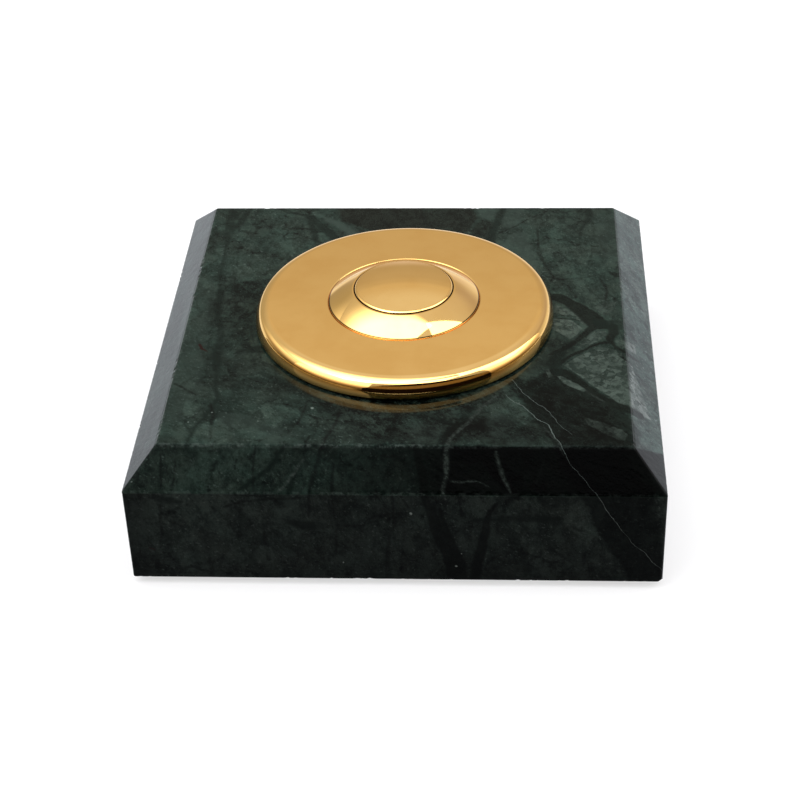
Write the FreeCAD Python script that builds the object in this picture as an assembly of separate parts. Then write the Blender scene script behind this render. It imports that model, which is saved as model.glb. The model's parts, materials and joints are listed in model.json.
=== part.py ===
import FreeCAD, Part
import math
import os

from FreeCAD import Vector

# Counter-top bell push: a brass push on a bevelled block of marble.
# Millimetres. Z is up, the origin is on the table under the middle of the block, -Y is the front.
# The brass push is a threaded barrel that passes through the stone and is clamped by a nut below.
# Threads are plain cylinders with a small clearance.

# Stone block
base_side = 100.0
base_height = 27.0
bevel = 6.5
arris = 0.35
web_thickness = 8.0
wiring_space = 8.0
ledge_width = 10.0
stone_clearance = 0.3

# Rubber feet
foot_radius = 6.0
foot_height = 1.5
foot_inset = 10.0
foot_edge = 0.4

# Brass rose and its gasket
rose_radius = 30.0
rose_thickness = 3.6
rose_rim_radius = 3.0
rose_hole_clearance = 0.2
gasket_thickness = 0.5
gasket_inset = 0.75

# Bezel and barrel, turned in one piece
bezel_overhang = 2.5
bezel_rise = 2.6
bezel_land = 0.3
bezel_seat_depth = 1.2
bezel_gap = 0.15
lip_thickness = 3.0
flange_catch = 0.75
barrel_wall = 1.7
barrel_lead_in = 0.5
thread_run_out = 1.0
thread_clearance = 0.05

# Washers and nut under the stone
washer_overhang = 5.5
washer_thickness = 1.5
lock_washer_width = 3.3
lock_washer_thickness = 0.8
lock_tooth_count = 16
lock_slot_width = 1.2
nut_wall = 2.5
nut_thickness = 3.7
nut_corner_break = 0.8

# Button
button_radius = 9.85
button_clearance = 0.2
button_wall = 1.45
button_proud = 0.3
dome_rise = 1.0
button_edge_radius = 0.4
crown_thickness = 1.5
button_flange_thickness = 1.0
button_travel = 1.8
stop_gap = 0.05

# Plunger
plunger_press_gap = 0.05
plunger_skirt = 1.25
plunger_disc_thickness = 2.7
plunger_boss_radius = 4.0
stem_radius = 1.75
stem_shoulder_radius = 2.3
stem_tip_length = 0.7
bridge_thickness = 0.8
clip_thickness = 0.6
clip_groove_depth = 0.5
clip_width = 1.5

# Contact block
block_clearance = 0.1
chamber_clearance = 0.15
chamber_depth = 9.3
pit_clearance = 0.6
neck_length = 1.5
neck_clearance = 0.3
divider_thickness = 1.2
divider_overhang = 0.5

# Snap ring in the barrel
snap_ring_thickness = 1.0
snap_ring_catch = 1.4
snap_groove_depth = 0.7
snap_groove_lip = 1.6
snap_ring_opening = 12.0

# Contacts and terminals
tip_radius = 1.7
tip_height = 0.8
pillar_radius = 2.2
pillar_cap = 1.5
insert_fit = 0.05
terminal_screw_radius = 1.2
terminal_screw_length = 5.0
terminal_head_radius = 2.4
terminal_head_height = 1.8
terminal_washer_thickness = 0.5
drill_run_out = 0.5

# Return spring
spring_wire = 0.7
spring_turns = 5
spring_clearance = 0.65
bridge_clearance = 0.55
tip_clearance = 0.45

# Cable inlet and grommet
cable_height = 8.5
cable_hole_radius = 2.1
grommet_wall = 1.8
grommet_length = 11.5
grommet_flange_width = 1.6
grommet_flange_thickness = 1.5
grommet_fit = 0.1

# Cover, cable cradle and clamp
cover_thickness = 1.8
cover_clearance = 0.3
post_spacing = 15.0
post_radius = 2.6
post_height_over_axis = 0.6
cradle_width = 6.0
cradle_drop = 1.2
clamp_thickness = 2.6
clamp_wall_clearance = 1.2
clamp_screw_radius = 1.0
clamp_screw_length = 8.5
clamp_head_radius = 1.9
clamp_head_height = 1.3

# Cover screws and their inserts
cover_screw_count = 4
cover_screw_radius = 1.2
cover_screw_length = 6.5
cover_head_radius = 2.35
cover_head_height = 1.3
insert_wall = 1.05
insert_length = 6.0
driver_slot_width = 0.6
driver_slot_depth = 0.7

# Radii that follow from the button outwards
lip_bore = button_radius + button_clearance
barrel_bore = lip_bore + flange_catch
barrel_radius = barrel_bore + barrel_wall
bezel_radius = barrel_radius + bezel_overhang
stone_bore = barrel_radius + stone_clearance
washer_radius = barrel_radius + washer_overhang
hollow_radius = washer_radius + wiring_space
recess_radius = hollow_radius + ledge_width
screw_circle = hollow_radius + ledge_width / 2
snap_groove_radius = barrel_bore + snap_groove_depth

# Radii that follow from the button inwards
button_flange_radius = barrel_bore - button_clearance
cup_radius = button_radius - button_wall
plunger_radius = cup_radius - plunger_press_gap
chamber_radius = plunger_radius + chamber_clearance
block_radius = barrel_bore - block_clearance
snap_ring_bore = block_radius - snap_ring_catch
neck_radius = snap_ring_bore - neck_clearance
spring_radius = chamber_radius - spring_clearance - spring_wire / 2
bridge_radius = spring_radius - spring_wire / 2 - bridge_clearance
contact_offset = spring_radius - spring_wire / 2 - tip_clearance - tip_radius
pit_radius = stem_radius + pit_clearance

# Heights from the table up to the top of the button
stone_bottom = foot_height
stone_top = stone_bottom + base_height
gasket_top = stone_top + gasket_thickness
rose_top = gasket_top + rose_thickness
bezel_seat = rose_top - bezel_seat_depth
bezel_top = rose_top + bezel_rise
button_edge = bezel_top + button_proud
dome_top = button_edge + dome_rise
button_ceiling = button_edge - crown_thickness

# Heights from the bezel's lip down to the contacts
lip_bottom = bezel_top - lip_thickness
flange_top = lip_bottom - stop_gap
flange_bottom = flange_top - button_flange_thickness
block_rim = flange_bottom - button_travel - stop_gap
plunger_bottom = flange_bottom - plunger_skirt
chamber_floor = block_rim - chamber_depth
tip_top = chamber_floor + tip_height
bridge_bottom = tip_top + button_travel + stop_gap
bridge_top = bridge_bottom + bridge_thickness
clip_bottom = bridge_bottom - clip_thickness
stem_end = clip_bottom - stem_tip_length
pit_floor = stem_end - button_travel - pit_clearance

# Heights from the stone's web down to the terminals
web_bottom = stone_top - web_thickness
washer_bottom = web_bottom - washer_thickness
lock_washer_bottom = washer_bottom - lock_washer_thickness
nut_bottom = lock_washer_bottom - nut_thickness
barrel_end = nut_bottom - thread_run_out
snap_groove_bottom = barrel_end + snap_groove_lip
block_shoulder = snap_groove_bottom + snap_ring_thickness
neck_bottom = barrel_end - neck_length
terminal_washer_bottom = neck_bottom - terminal_washer_thickness
terminal_head_bottom = terminal_washer_bottom - terminal_head_height
divider_bottom = terminal_head_bottom - divider_overhang

# Places at the underside and the rear
cover_top = stone_bottom + cover_thickness
cable_axis = stone_bottom + cable_height
grommet_radius = cable_hole_radius + grommet_wall
grommet_flange_radius = grommet_radius + grommet_flange_width
rear_face = base_side / 2
insert_radius = cover_screw_radius + thread_clearance + insert_wall
post_top = cable_axis + post_height_over_axis
clamp_top = post_top + clamp_thickness
clamp_half_length = post_spacing / 2 + post_radius
clamp_reach = math.sqrt((hollow_radius - clamp_wall_clearance) ** 2 - clamp_half_length ** 2)
clamp_y = clamp_reach - post_radius

UP = Vector(0, 0, 1)
REARWARD = Vector(0, 1, 0)


# Shape helpers

def disc(radius, low, high, x=0.0, y=0.0):
    """Upright cylinder between two heights."""
    return Part.makeCylinder(radius, high - low, Vector(x, y, low), UP)


def ring(bore, radius, low, high, x=0.0, y=0.0):
    """Upright tube between two heights."""
    return disc(radius, low, high, x, y).cut(disc(bore, low, high, x, y))


def lying_disc(radius, front, back, height):
    """Cylinder along Y between two Y places, above the middle of the block."""
    return Part.makeCylinder(radius, back - front, Vector(0, front, height), REARWARD)


def turned(*outline):
    """Solid turned about Z from (radius, height) points.

    A pair of points inside the outline is an arc: it passes the first and ends at the second.
    """
    start = Vector(outline[0][0], 0, outline[0][1])
    edges = []
    here = start
    for step in outline[1:] + (outline[0],):
        is_arc = isinstance(step[0], tuple)
        end = Vector(step[1][0], 0, step[1][1]) if is_arc else Vector(step[0], 0, step[1])
        if is_arc:
            through = Vector(step[0][0], 0, step[0][1])
            edges.append(Part.Arc(here, through, end).toShape())
        else:
            edges.append(Part.makeLine(here, end))
        here = end
    return Part.Face(Part.Wire(edges)).revolve(Vector(0, 0, 0), UP, 360)


def round_edges(shape, radius, height):
    """The circular edges of a shape that have this radius at this height."""
    found = []
    for edge in shape.Edges:
        if edge.Degenerated or not hasattr(edge.Curve, "Radius"):
            continue
        if abs(edge.Curve.Radius - radius) < 1e-4 and abs(edge.BoundBox.ZMin - height) < 1e-4:
            found.append(edge)
    return found


def around(count, radius, first_angle):
    """Evenly spaced (x, y) places on a circle."""
    angles = [math.radians(first_angle + 360.0 * i / count) for i in range(count)]
    return [(radius * math.cos(a), radius * math.sin(a)) for a in angles]


def cut_all(shape, tools):
    """Cut every tool from the shape."""
    for tool in tools:
        shape = shape.cut(tool)
    return shape


# Stone, feet and cover

COVER_SCREW_PLACES = around(cover_screw_count, screw_circle, 45)


def marble_base():
    """Bevelled block with a bore for the barrel, a hollow for the wiring and a recess for the cover."""
    corner = Vector(-base_side / 2, -base_side / 2, stone_bottom)
    block = Part.makeBox(base_side, base_side, base_height, corner)
    top_edges = [e for e in block.Edges if abs(e.BoundBox.ZMin - stone_top) < 1e-4]
    block = block.makeChamfer(bevel, top_edges)
    block = block.makeFillet(arris, block.Edges)
    insert_bore = insert_radius + insert_fit
    insert_holes = [
        disc(insert_bore, stone_bottom, cover_top + insert_length + drill_run_out, x, y)
        for x, y in COVER_SCREW_PLACES
    ]
    cable_bore = lying_disc(grommet_radius + grommet_fit, 0, base_side, cable_axis)
    flange_seat = lying_disc(
        grommet_flange_radius + grommet_fit, rear_face - grommet_flange_thickness, base_side, cable_axis
    )
    block = cut_all(block, insert_holes + [cable_bore, flange_seat])
    block = block.cut(disc(recess_radius, stone_bottom, cover_top))
    block = block.cut(disc(hollow_radius, stone_bottom, web_bottom))
    return block.cut(disc(stone_bore, stone_bottom, stone_top))


def foot(x, y):
    """Round rubber foot with a softened lower edge."""
    pad = disc(foot_radius, 0, foot_height, x, y)
    return pad.makeFillet(foot_edge, round_edges(pad, foot_radius, 0))


def base_cover():
    """Moulded disc with a cradle and two posts for the cable clamp, and countersunk screw holes."""
    plate = disc(recess_radius - cover_clearance, stone_bottom, cover_top)
    cradle_top = cable_axis - cradle_drop
    cradle = Part.makeBox(
        cradle_width,
        2 * post_radius,
        cradle_top - stone_bottom,
        Vector(-cradle_width / 2, clamp_y - post_radius, stone_bottom),
    )
    plate = plate.fuse(cradle)
    pilot_radius = clamp_screw_radius + thread_clearance
    pilot_floor = clamp_top - clamp_screw_length - drill_run_out
    for x in (-post_spacing / 2, post_spacing / 2):
        plate = plate.fuse(disc(post_radius, stone_bottom, post_top, x, clamp_y))
        plate = plate.cut(disc(pilot_radius, pilot_floor, post_top, x, clamp_y))
    plate = plate.cut(cable_path())
    for x, y in COVER_SCREW_PLACES:
        plate = plate.cut(countersunk_head(x, y, cover_clearance))
        plate = plate.cut(disc(cover_screw_radius + cover_clearance, stone_bottom, cover_top, x, y))
    return plate.removeSplitter()


def cable_path():
    """Room that the cable takes through the cradle and the clamp."""
    return lying_disc(cable_hole_radius, clamp_y - 2 * post_radius, clamp_y + 2 * post_radius, cable_axis)


def cable_clamp():
    """Bar with round ends and an arch for the cable."""
    bar = Part.makeBox(
        post_spacing,
        2 * post_radius,
        clamp_thickness,
        Vector(-post_spacing / 2, clamp_y - post_radius, post_top),
    )
    screw_hole_radius = clamp_screw_radius + cover_clearance
    for x in (-post_spacing / 2, post_spacing / 2):
        bar = bar.fuse(disc(post_radius, post_top, clamp_top, x, clamp_y))
    for x in (-post_spacing / 2, post_spacing / 2):
        bar = bar.cut(disc(screw_hole_radius, post_top, clamp_top, x, clamp_y))
    return bar.cut(cable_path()).removeSplitter()


def driver_slot(width, floor, top, x, y):
    """Straight slot across a screw head."""
    return Part.makeBox(
        2 * width, driver_slot_width, top - floor, Vector(x - width, y - driver_slot_width / 2, floor)
    )


def cable_clamp_screws():
    """Two slotted screws that go down into the posts."""
    screws = []
    for x in (-post_spacing / 2, post_spacing / 2):
        head_top = clamp_top + clamp_head_height
        head = disc(clamp_head_radius, clamp_top, head_top, x, clamp_y)
        shank = disc(clamp_screw_radius, clamp_top - clamp_screw_length, clamp_top, x, clamp_y)
        slot = driver_slot(clamp_head_radius, head_top - driver_slot_depth, head_top, x, clamp_y)
        screws.append(head.fuse(shank).cut(slot))
    return Part.makeCompound(screws)


def countersunk_head(x, y, clearance=0.0):
    """Cone of a countersunk screw head, flush with the cover's underside."""
    wide = cover_head_radius + clearance
    narrow = cover_screw_radius + clearance
    return Part.makeCone(wide, narrow, cover_head_height, Vector(x, y, stone_bottom), UP)


def cover_screws():
    """Countersunk screws with a cross slot, seen from below."""
    screws = []
    for x, y in COVER_SCREW_PLACES:
        shank = disc(cover_screw_radius, stone_bottom, stone_bottom + cover_screw_length, x, y)
        screw = countersunk_head(x, y).fuse(shank)
        slot = driver_slot(cover_screw_radius, stone_bottom, stone_bottom + driver_slot_depth, x, y)
        cross_slot = slot.copy()
        cross_slot.rotate(Vector(x, y, 0), UP, 90)
        screws.append(screw.cut(slot).cut(cross_slot))
    return Part.makeCompound(screws)


def cover_inserts():
    """Brass inserts glued into the stone's ledge."""
    bore = cover_screw_radius + thread_clearance
    sleeves = [
        ring(bore, insert_radius, cover_top, cover_top + insert_length, x, y) for x, y in COVER_SCREW_PLACES
    ]
    return Part.makeCompound(sleeves)


def cable_grommet():
    """Rubber grommet in the rear face, with its flange sunk flush."""
    front = rear_face - grommet_length
    body = lying_disc(grommet_radius, front, rear_face, cable_axis)
    flange = lying_disc(grommet_flange_radius, rear_face - grommet_flange_thickness, rear_face, cable_axis)
    return body.fuse(flange).cut(lying_disc(cable_hole_radius, front, rear_face, cable_axis)).removeSplitter()


# Brass push, from the top down

def rose_gasket():
    """Thin gasket that keeps the rose off the stone."""
    return ring(stone_bore, rose_radius - gasket_inset, stone_top, gasket_top)


def rose_plate():
    """Round plate with a rounded rim and a seat for the bezel."""
    hole = barrel_radius + rose_hole_clearance
    seat = bezel_radius + bezel_gap
    rim = min(rose_rim_radius, 0.9 * rose_thickness)
    slant = rim * math.sqrt(0.5)
    rim_centre = (rose_radius - rim, rose_top - rim)
    return turned(
        (hole, gasket_top),
        (rose_radius, gasket_top),
        (rose_radius, rim_centre[1]),
        ((rim_centre[0] + slant, rim_centre[1] + slant), (rim_centre[0], rose_top)),
        (seat, rose_top),
        (seat, bezel_seat),
        (hole, bezel_seat),
    )


def bezel_barrel():
    """Conical bezel with the barrel that passes through the rose and the stone."""
    return turned(
        (barrel_bore, barrel_end),
        (barrel_radius - barrel_lead_in, barrel_end),
        (barrel_radius, barrel_end + barrel_lead_in),
        (barrel_radius, bezel_seat),
        (bezel_radius, bezel_seat),
        (bezel_radius, rose_top),
        (lip_bore + bezel_land, bezel_top),
        (lip_bore, bezel_top),
        (lip_bore, lip_bottom),
        (barrel_bore, lip_bottom),
        (barrel_bore, block_shoulder),
        (snap_groove_radius, block_shoulder),
        (snap_groove_radius, snap_groove_bottom),
        (barrel_bore, snap_groove_bottom),
    )


def barrel_washer():
    """Fibre washer between the stone and the metal washer."""
    return ring(barrel_radius + thread_clearance, washer_radius, washer_bottom, web_bottom)


def lock_washer():
    """Toothed washer: slots from the bore leave the teeth."""
    bore = barrel_radius + thread_clearance
    outer = bore + lock_washer_width
    washer = ring(bore, outer, lock_washer_bottom, washer_bottom)
    slot_end = bore + lock_washer_width / 2
    slot = Part.makeBox(
        slot_end, lock_slot_width, lock_washer_thickness, Vector(0, -lock_slot_width / 2, lock_washer_bottom)
    )
    for i in range(lock_tooth_count):
        turned_slot = slot.copy()
        turned_slot.rotate(Vector(0, 0, 0), UP, 360.0 * i / lock_tooth_count)
        washer = washer.cut(turned_slot)
    return washer


def barrel_nut():
    """Thin hexagon nut with its corners turned off at both faces."""
    flat_radius = barrel_radius + nut_wall
    corner_radius = flat_radius / math.cos(math.radians(30))
    corners = [Vector(x, y, nut_bottom) for x, y in around(6, corner_radius, 0)]
    prism = Part.Face(Part.makePolygon(corners + corners[:1])).extrude(UP * nut_thickness)
    height_break = nut_corner_break / 2
    blank = turned(
        (0, nut_bottom),
        (corner_radius - nut_corner_break, nut_bottom),
        (corner_radius, nut_bottom + height_break),
        (corner_radius, lock_washer_bottom - height_break),
        (corner_radius - nut_corner_break, lock_washer_bottom),
        (0, lock_washer_bottom),
    )
    bore = disc(barrel_radius + thread_clearance, nut_bottom, lock_washer_bottom)
    return prism.common(blank).cut(bore)


def push_button():
    """Domed cup with the flange that stops it under the bezel's lip."""
    dome_radius = (button_radius ** 2 + dome_rise ** 2) / (2 * dome_rise)
    half_way = button_radius / 2
    half_way_height = dome_top - dome_radius + math.sqrt(dome_radius ** 2 - half_way ** 2)
    cup = turned(
        (cup_radius, flange_bottom),
        (button_flange_radius, flange_bottom),
        (button_flange_radius, flange_top),
        (button_radius, flange_top),
        (button_radius, button_edge),
        ((half_way, half_way_height), (0, dome_top)),
        (0, button_ceiling),
        (cup_radius, button_ceiling),
    )
    edge_radius = min(button_edge_radius, 0.8 * crown_thickness)
    return cup.makeFillet(edge_radius, round_edges(cup, button_radius, button_edge))


def plunger():
    """Disc and boss inside the button, with the stem that carries the bridge."""
    groove_radius = stem_radius - clip_groove_depth
    disc_top = min(plunger_bottom + plunger_disc_thickness, button_ceiling)
    return turned(
        (0, stem_end),
        (stem_radius, stem_end),
        (stem_radius, clip_bottom),
        (groove_radius, clip_bottom),
        (groove_radius, bridge_bottom),
        (stem_radius, bridge_bottom),
        (stem_radius, bridge_top),
        (stem_shoulder_radius, bridge_top),
        (stem_shoulder_radius, plunger_bottom),
        (plunger_radius, plunger_bottom),
        (plunger_radius, disc_top),
        (plunger_boss_radius, disc_top),
        (plunger_boss_radius, button_ceiling),
        (0, button_ceiling),
    )


def contact_bridge():
    """Brass disc on the stem."""
    return ring(stem_radius + thread_clearance, bridge_radius, bridge_bottom, bridge_top)


def bridge_clip():
    """Open clip in the stem's groove."""
    bore = stem_radius - clip_groove_depth + thread_clearance
    outer = bore + clip_width
    clip = ring(bore, outer, clip_bottom, bridge_bottom)
    opening = Part.makeBox(2 * bore, outer, clip_thickness, Vector(-bore, 0, clip_bottom))
    return clip.cut(opening)


def contact_block():
    """Moulded block: spring chamber above, neck with the terminals below."""
    body = turned(
        (0, neck_bottom),
        (neck_radius, neck_bottom),
        (neck_radius, block_shoulder),
        (block_radius, block_shoulder),
        (block_radius, block_rim),
        (chamber_radius, block_rim),
        (chamber_radius, chamber_floor),
        (pit_radius, chamber_floor),
        (pit_radius, pit_floor),
        (0, pit_floor),
    )
    divider = Part.makeBox(
        divider_thickness,
        2 * neck_radius,
        neck_bottom - divider_bottom,
        Vector(-divider_thickness / 2, -neck_radius, divider_bottom),
    )
    body = body.fuse(divider.common(disc(neck_radius, divider_bottom, neck_bottom)))
    for x in (-contact_offset, contact_offset):
        body = body.cut(disc(tip_radius + insert_fit, neck_bottom, chamber_floor, x))
        body = body.cut(disc(pillar_radius + insert_fit, neck_bottom, chamber_floor - pillar_cap, x))
    return body.removeSplitter()


def contact_stud(x):
    """Brass pillar: contact tip above the chamber floor, tapped hole from below."""
    tapped_radius = terminal_screw_radius + thread_clearance
    tapped_top = neck_bottom + terminal_screw_length
    pillar = turned(
        (tapped_radius, neck_bottom),
        (pillar_radius, neck_bottom),
        (pillar_radius, chamber_floor - pillar_cap),
        (tip_radius, chamber_floor - pillar_cap),
        (tip_radius, tip_top),
        (0, tip_top),
        (0, tapped_top),
        (tapped_radius, tapped_top),
    )
    pillar.translate(Vector(x, 0, 0))
    return pillar


def terminal_washers():
    """Washers between the pillars and the screw heads."""
    bore = terminal_screw_radius + thread_clearance
    washers = [
        ring(bore, terminal_head_radius, terminal_washer_bottom, neck_bottom, x)
        for x in (-contact_offset, contact_offset)
    ]
    return Part.makeCompound(washers)


def terminal_screws():
    """Slotted screws that clamp the cores, driven from below."""
    screws = []
    for x in (-contact_offset, contact_offset):
        head = disc(terminal_head_radius, terminal_head_bottom, terminal_washer_bottom, x)
        shank_top = terminal_washer_bottom + terminal_screw_length
        shank = disc(terminal_screw_radius, terminal_washer_bottom, shank_top, x)
        slot = driver_slot(
            terminal_head_radius, terminal_head_bottom, terminal_head_bottom + driver_slot_depth, x, 0
        )
        screws.append(head.fuse(shank).cut(slot))
    return Part.makeCompound(screws)


def retaining_ring():
    """Flat snap ring in the barrel's groove, open at the rear."""
    outer = snap_groove_radius - block_clearance
    snap_ring = ring(snap_ring_bore, outer, snap_groove_bottom, block_shoulder)
    opening = Part.makeBox(
        snap_ring_opening, outer, snap_ring_thickness, Vector(-snap_ring_opening / 2, 0, snap_groove_bottom)
    )
    return snap_ring.cut(opening)


# Return spring

def spring_point(turn):
    """Place on the wire's centre line: level at both ends, a steady climb between."""
    low = chamber_floor + spring_wire / 2
    climb = plunger_bottom - spring_wire / 2 - low
    ease = 0.5
    steady = spring_turns - ease
    if turn < ease:
        share = turn ** 2 / (2 * ease)
    elif turn > spring_turns - ease:
        share = steady - (spring_turns - turn) ** 2 / (2 * ease)
    else:
        share = turn - ease / 2
    angle = 2 * math.pi * turn
    return Vector(
        spring_radius * math.cos(angle), spring_radius * math.sin(angle), low + climb * share / steady
    )


def spring_direction(turn):
    """Unit direction of the wire."""
    step = 1e-4
    return (spring_point(turn + step) - spring_point(turn - step)).normalize()


def arc_from_corner(start, corner, end):
    """Arc that leaves start towards corner and arrives at end from it, with equal legs."""
    chord_middle = (start + end) * 0.5
    leg = (corner - start).Length
    half_chord = (end - start).Length / 2
    rise = (corner - chord_middle).Length
    arc_radius = leg * half_chord / rise
    depth = arc_radius - math.sqrt(arc_radius ** 2 - half_chord ** 2)
    middle = chord_middle + (corner - chord_middle) * (depth / rise)
    return Part.Arc(start, middle, end).toShape()


def biarc(start, start_direction, end, end_direction):
    """Two arcs that join two places with the given directions."""
    chord = end - start
    both = start_direction + end_direction
    square = 2 * (1 - start_direction.dot(end_direction))
    linear = 2 * chord.dot(both)
    constant = -chord.dot(chord)
    leg = (-linear + math.sqrt(linear ** 2 - 4 * square * constant)) / (2 * square)
    first_corner = start + start_direction * leg
    second_corner = end - end_direction * leg
    joint = (first_corner + second_corner) * 0.5
    return [arc_from_corner(start, first_corner, joint), arc_from_corner(joint, second_corner, end)]


def print_spring_gap():
    """Print the least gap between turns, measured on points along the wire."""
    per_turn = 36
    points = [spring_point(i / per_turn) for i in range(spring_turns * per_turn + 1)]
    least = min(
        (points[j] - points[i]).Length
        for i in range(len(points))
        for j in range(i + per_turn // 2, len(points))
    )
    print("spring: least gap between turns", round(least - spring_wire, 2), "mm")


def return_spring():
    """Open coil spring on the chamber floor, up to the plunger."""
    quarters = 4 * spring_turns
    edges = []
    for i in range(quarters):
        turn, next_turn = i / 4, (i + 1) / 4
        edges += biarc(
            spring_point(turn), spring_direction(turn), spring_point(next_turn), spring_direction(next_turn)
        )
    path = Part.Wire(edges)
    section = Part.Wire([Part.makeCircle(spring_wire / 2, spring_point(0), spring_direction(0))])
    sweep = Part.BRepOffsetAPI.MakePipeShell(path)
    sweep.add(section)
    sweep.build()
    sweep.makeSolid()
    print_spring_gap()
    return sweep.shape()


foot_place = base_side / 2 - foot_inset

NODES = {
    "marble_base": marble_base(),
    "foot_front_left": foot(-foot_place, -foot_place),
    "foot_front_right": foot(foot_place, -foot_place),
    "foot_rear_left": foot(-foot_place, foot_place),
    "foot_rear_right": foot(foot_place, foot_place),
    "rose_gasket": rose_gasket(),
    "rose_plate": rose_plate(),
    "bezel_barrel": bezel_barrel(),
    "barrel_washer": barrel_washer(),
    "lock_washer": lock_washer(),
    "barrel_nut": barrel_nut(),
    "push_button": push_button(),
    "plunger": plunger(),
    "contact_bridge": contact_bridge(),
    "bridge_clip": bridge_clip(),
    "return_spring": return_spring(),
    "contact_block": contact_block(),
    "contact_stud_left": contact_stud(-contact_offset),
    "contact_stud_right": contact_stud(contact_offset),
    "terminal_washers": terminal_washers(),
    "terminal_screws": terminal_screws(),
    "retaining_ring": retaining_ring(),
    "cable_grommet": cable_grommet(),
    "base_cover": base_cover(),
    "cable_clamp": cable_clamp(),
    "cable_clamp_screws": cable_clamp_screws(),
    "cover_inserts": cover_inserts(),
    "cover_screws": cover_screws(),
}

os.makedirs("parts", exist_ok=True)
for node, shape in NODES.items():
    shape.exportStep("parts/" + node + ".step")
    print(node, "solids", len(shape.Solids), "volume", round(shape.Volume, 1), "valid", shape.isValid())
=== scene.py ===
# %% [markdown]
# # A counter bell push: brass button on a green marble block
# The object is a square block of polished marble, about 100 mm a side, with a turned brass push let into
# its top: a flat rose, a raised bezel and a domed button that goes down 1.8 mm. This lesson dresses its CAD
# model: the shapes that show get fine meshes with softened edges, and every part gets a material made from
# nodes. All sizes here are in millimetres and are turned to Blender's metres by one factor, MM.

import functools
import json
import math

import bmesh
import bpy
from mathutils import Matrix, Vector, noise


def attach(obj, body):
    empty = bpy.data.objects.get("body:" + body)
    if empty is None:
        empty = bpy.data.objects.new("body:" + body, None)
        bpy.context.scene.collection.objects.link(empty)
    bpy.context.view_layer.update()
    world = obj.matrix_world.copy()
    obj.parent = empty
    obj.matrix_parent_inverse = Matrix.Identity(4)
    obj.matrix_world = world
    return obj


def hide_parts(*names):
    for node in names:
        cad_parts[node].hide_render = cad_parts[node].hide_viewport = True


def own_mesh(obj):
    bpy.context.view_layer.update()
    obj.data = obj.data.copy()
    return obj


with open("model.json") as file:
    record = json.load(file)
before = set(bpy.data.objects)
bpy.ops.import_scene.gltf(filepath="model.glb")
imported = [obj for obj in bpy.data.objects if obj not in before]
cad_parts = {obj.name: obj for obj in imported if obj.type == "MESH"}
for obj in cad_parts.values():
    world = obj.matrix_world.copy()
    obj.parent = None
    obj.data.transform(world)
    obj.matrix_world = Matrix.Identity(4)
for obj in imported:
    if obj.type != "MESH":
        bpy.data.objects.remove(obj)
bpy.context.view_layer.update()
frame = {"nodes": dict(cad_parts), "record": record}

MM = 0.001
nodes_of_cad = frame["nodes"]

# %% [markdown]
# ## Colours and nodes
# Colours are written as the hex values that a paint program shows, which are sRGB. Blender's shaders work
# with linear light, so one function turns them. A second one adds any node with its settings and links. A
# shader, a Geometry Nodes tree and a lamp are all built with it, so each comes down to what it is made of.
# The table names the few set-ups that come back all the time.

# %% Colours


def linear(hex_colour):
    """Linear RGBA of an sRGB hex colour."""
    channels = [int(hex_colour[i:i + 2], 16) / 255 for i in (1, 3, 5)]
    return [c / 12.92 if c <= 0.04045 else ((c + 0.055) / 1.055) ** 2.4 for c in channels] + [1.0]


print("middle grey, linear:", linear("#808080"))

# %% Nodes
# Short name: Blender's name, its settings, the inputs that take the values in turn, and the output to use.
OFTEN = {
    "mix": ("Mix", {"data_type": "RGBA"}, (0, 6, 7), 2),
    "tint": ("Mix", {"data_type": "RGBA", "blend_type": "MULTIPLY"}, (0, 6, 7), 2),
    # Value, from, to: 0 to 1 with soft ends. Two more numbers change the 0 and the 1.
    "slope": ("MapRange", {"interpolation_type": "SMOOTHSTEP"}, (0, 1, 2, 3, 4), 0),
    "move": ("VectorMath", {"operation": "ADD"}, (0, 1), 0),
    "scale": ("VectorMath", {"operation": "SCALE"}, (0, "Scale"), 0),
    "split": ("SeparateXYZ", {}, (0,), None),
    # Place, blobs or cells in a millimetre, then for noise its detail and roughness.
    "noise": ("TexNoise", {}, ("Vector", "Scale", "Detail", "Roughness"), 0),
    "cells": ("TexVoronoi", {}, ("Vector", "Scale"), 0),
}


def add(tree, kind, *values, out="", **more):
    """Add a node and give one of its outputs, or all of them with out=None.

    kind is a name from OFTEN, arithmetic in capitals such as ADD, or Blender's own name. values go to its
    inputs in turn. In more, a capital starts the name of an input, and any other name is a setting.
    """
    name, settings, inputs, main = OFTEN.get(kind, (kind, {}, range(len(values)), 0))
    if kind.isupper():
        name, settings = "Math", {"operation": kind}
    node = tree.nodes.new(name if "Node" in name else "ShaderNode" + name)
    takes = list(zip(inputs, values))
    for key, value in {**settings, **more}.items():
        if key[0].isupper():
            takes.append((key.replace("_", " "), value))
        else:
            setattr(node, key, value)
    for key, value in takes:
        if isinstance(value, bpy.types.NodeSocket):
            tree.links.new(value, node.inputs[key])
        else:
            node.inputs[key].default_value = value
    out = main if out == "" else out
    return node.outputs if out is None or not len(node.outputs) else node.outputs[out]


def feed(shader, **sockets):
    """Link sockets to a shader's inputs, named as in add."""
    for name, socket in sockets.items():
        shader.id_data.links.new(socket, shader.inputs[name.replace("_", " ")])


print("short names for nodes:", *OFTEN)

# %% Materials


def empty_nodes(holder):
    """Emptied node tree of a material or the world."""
    holder.use_nodes = True
    holder.node_tree.nodes.clear()
    return holder.node_tree


def new_material(name, **values):
    """Material with one Principled shader, its plain values set on the shader's own sockets."""
    material = bpy.data.materials.new(name)
    tree = empty_nodes(material)
    surface = add(tree, "BsdfPrincipled", **values)
    add(tree, "OutputMaterial", surface)
    return material, tree, surface.node


def place(tree):
    """Object coordinates in millimetres."""
    return add(tree, "scale", add(tree, "TexCoord", out="Object"), 1 / MM)


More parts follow.
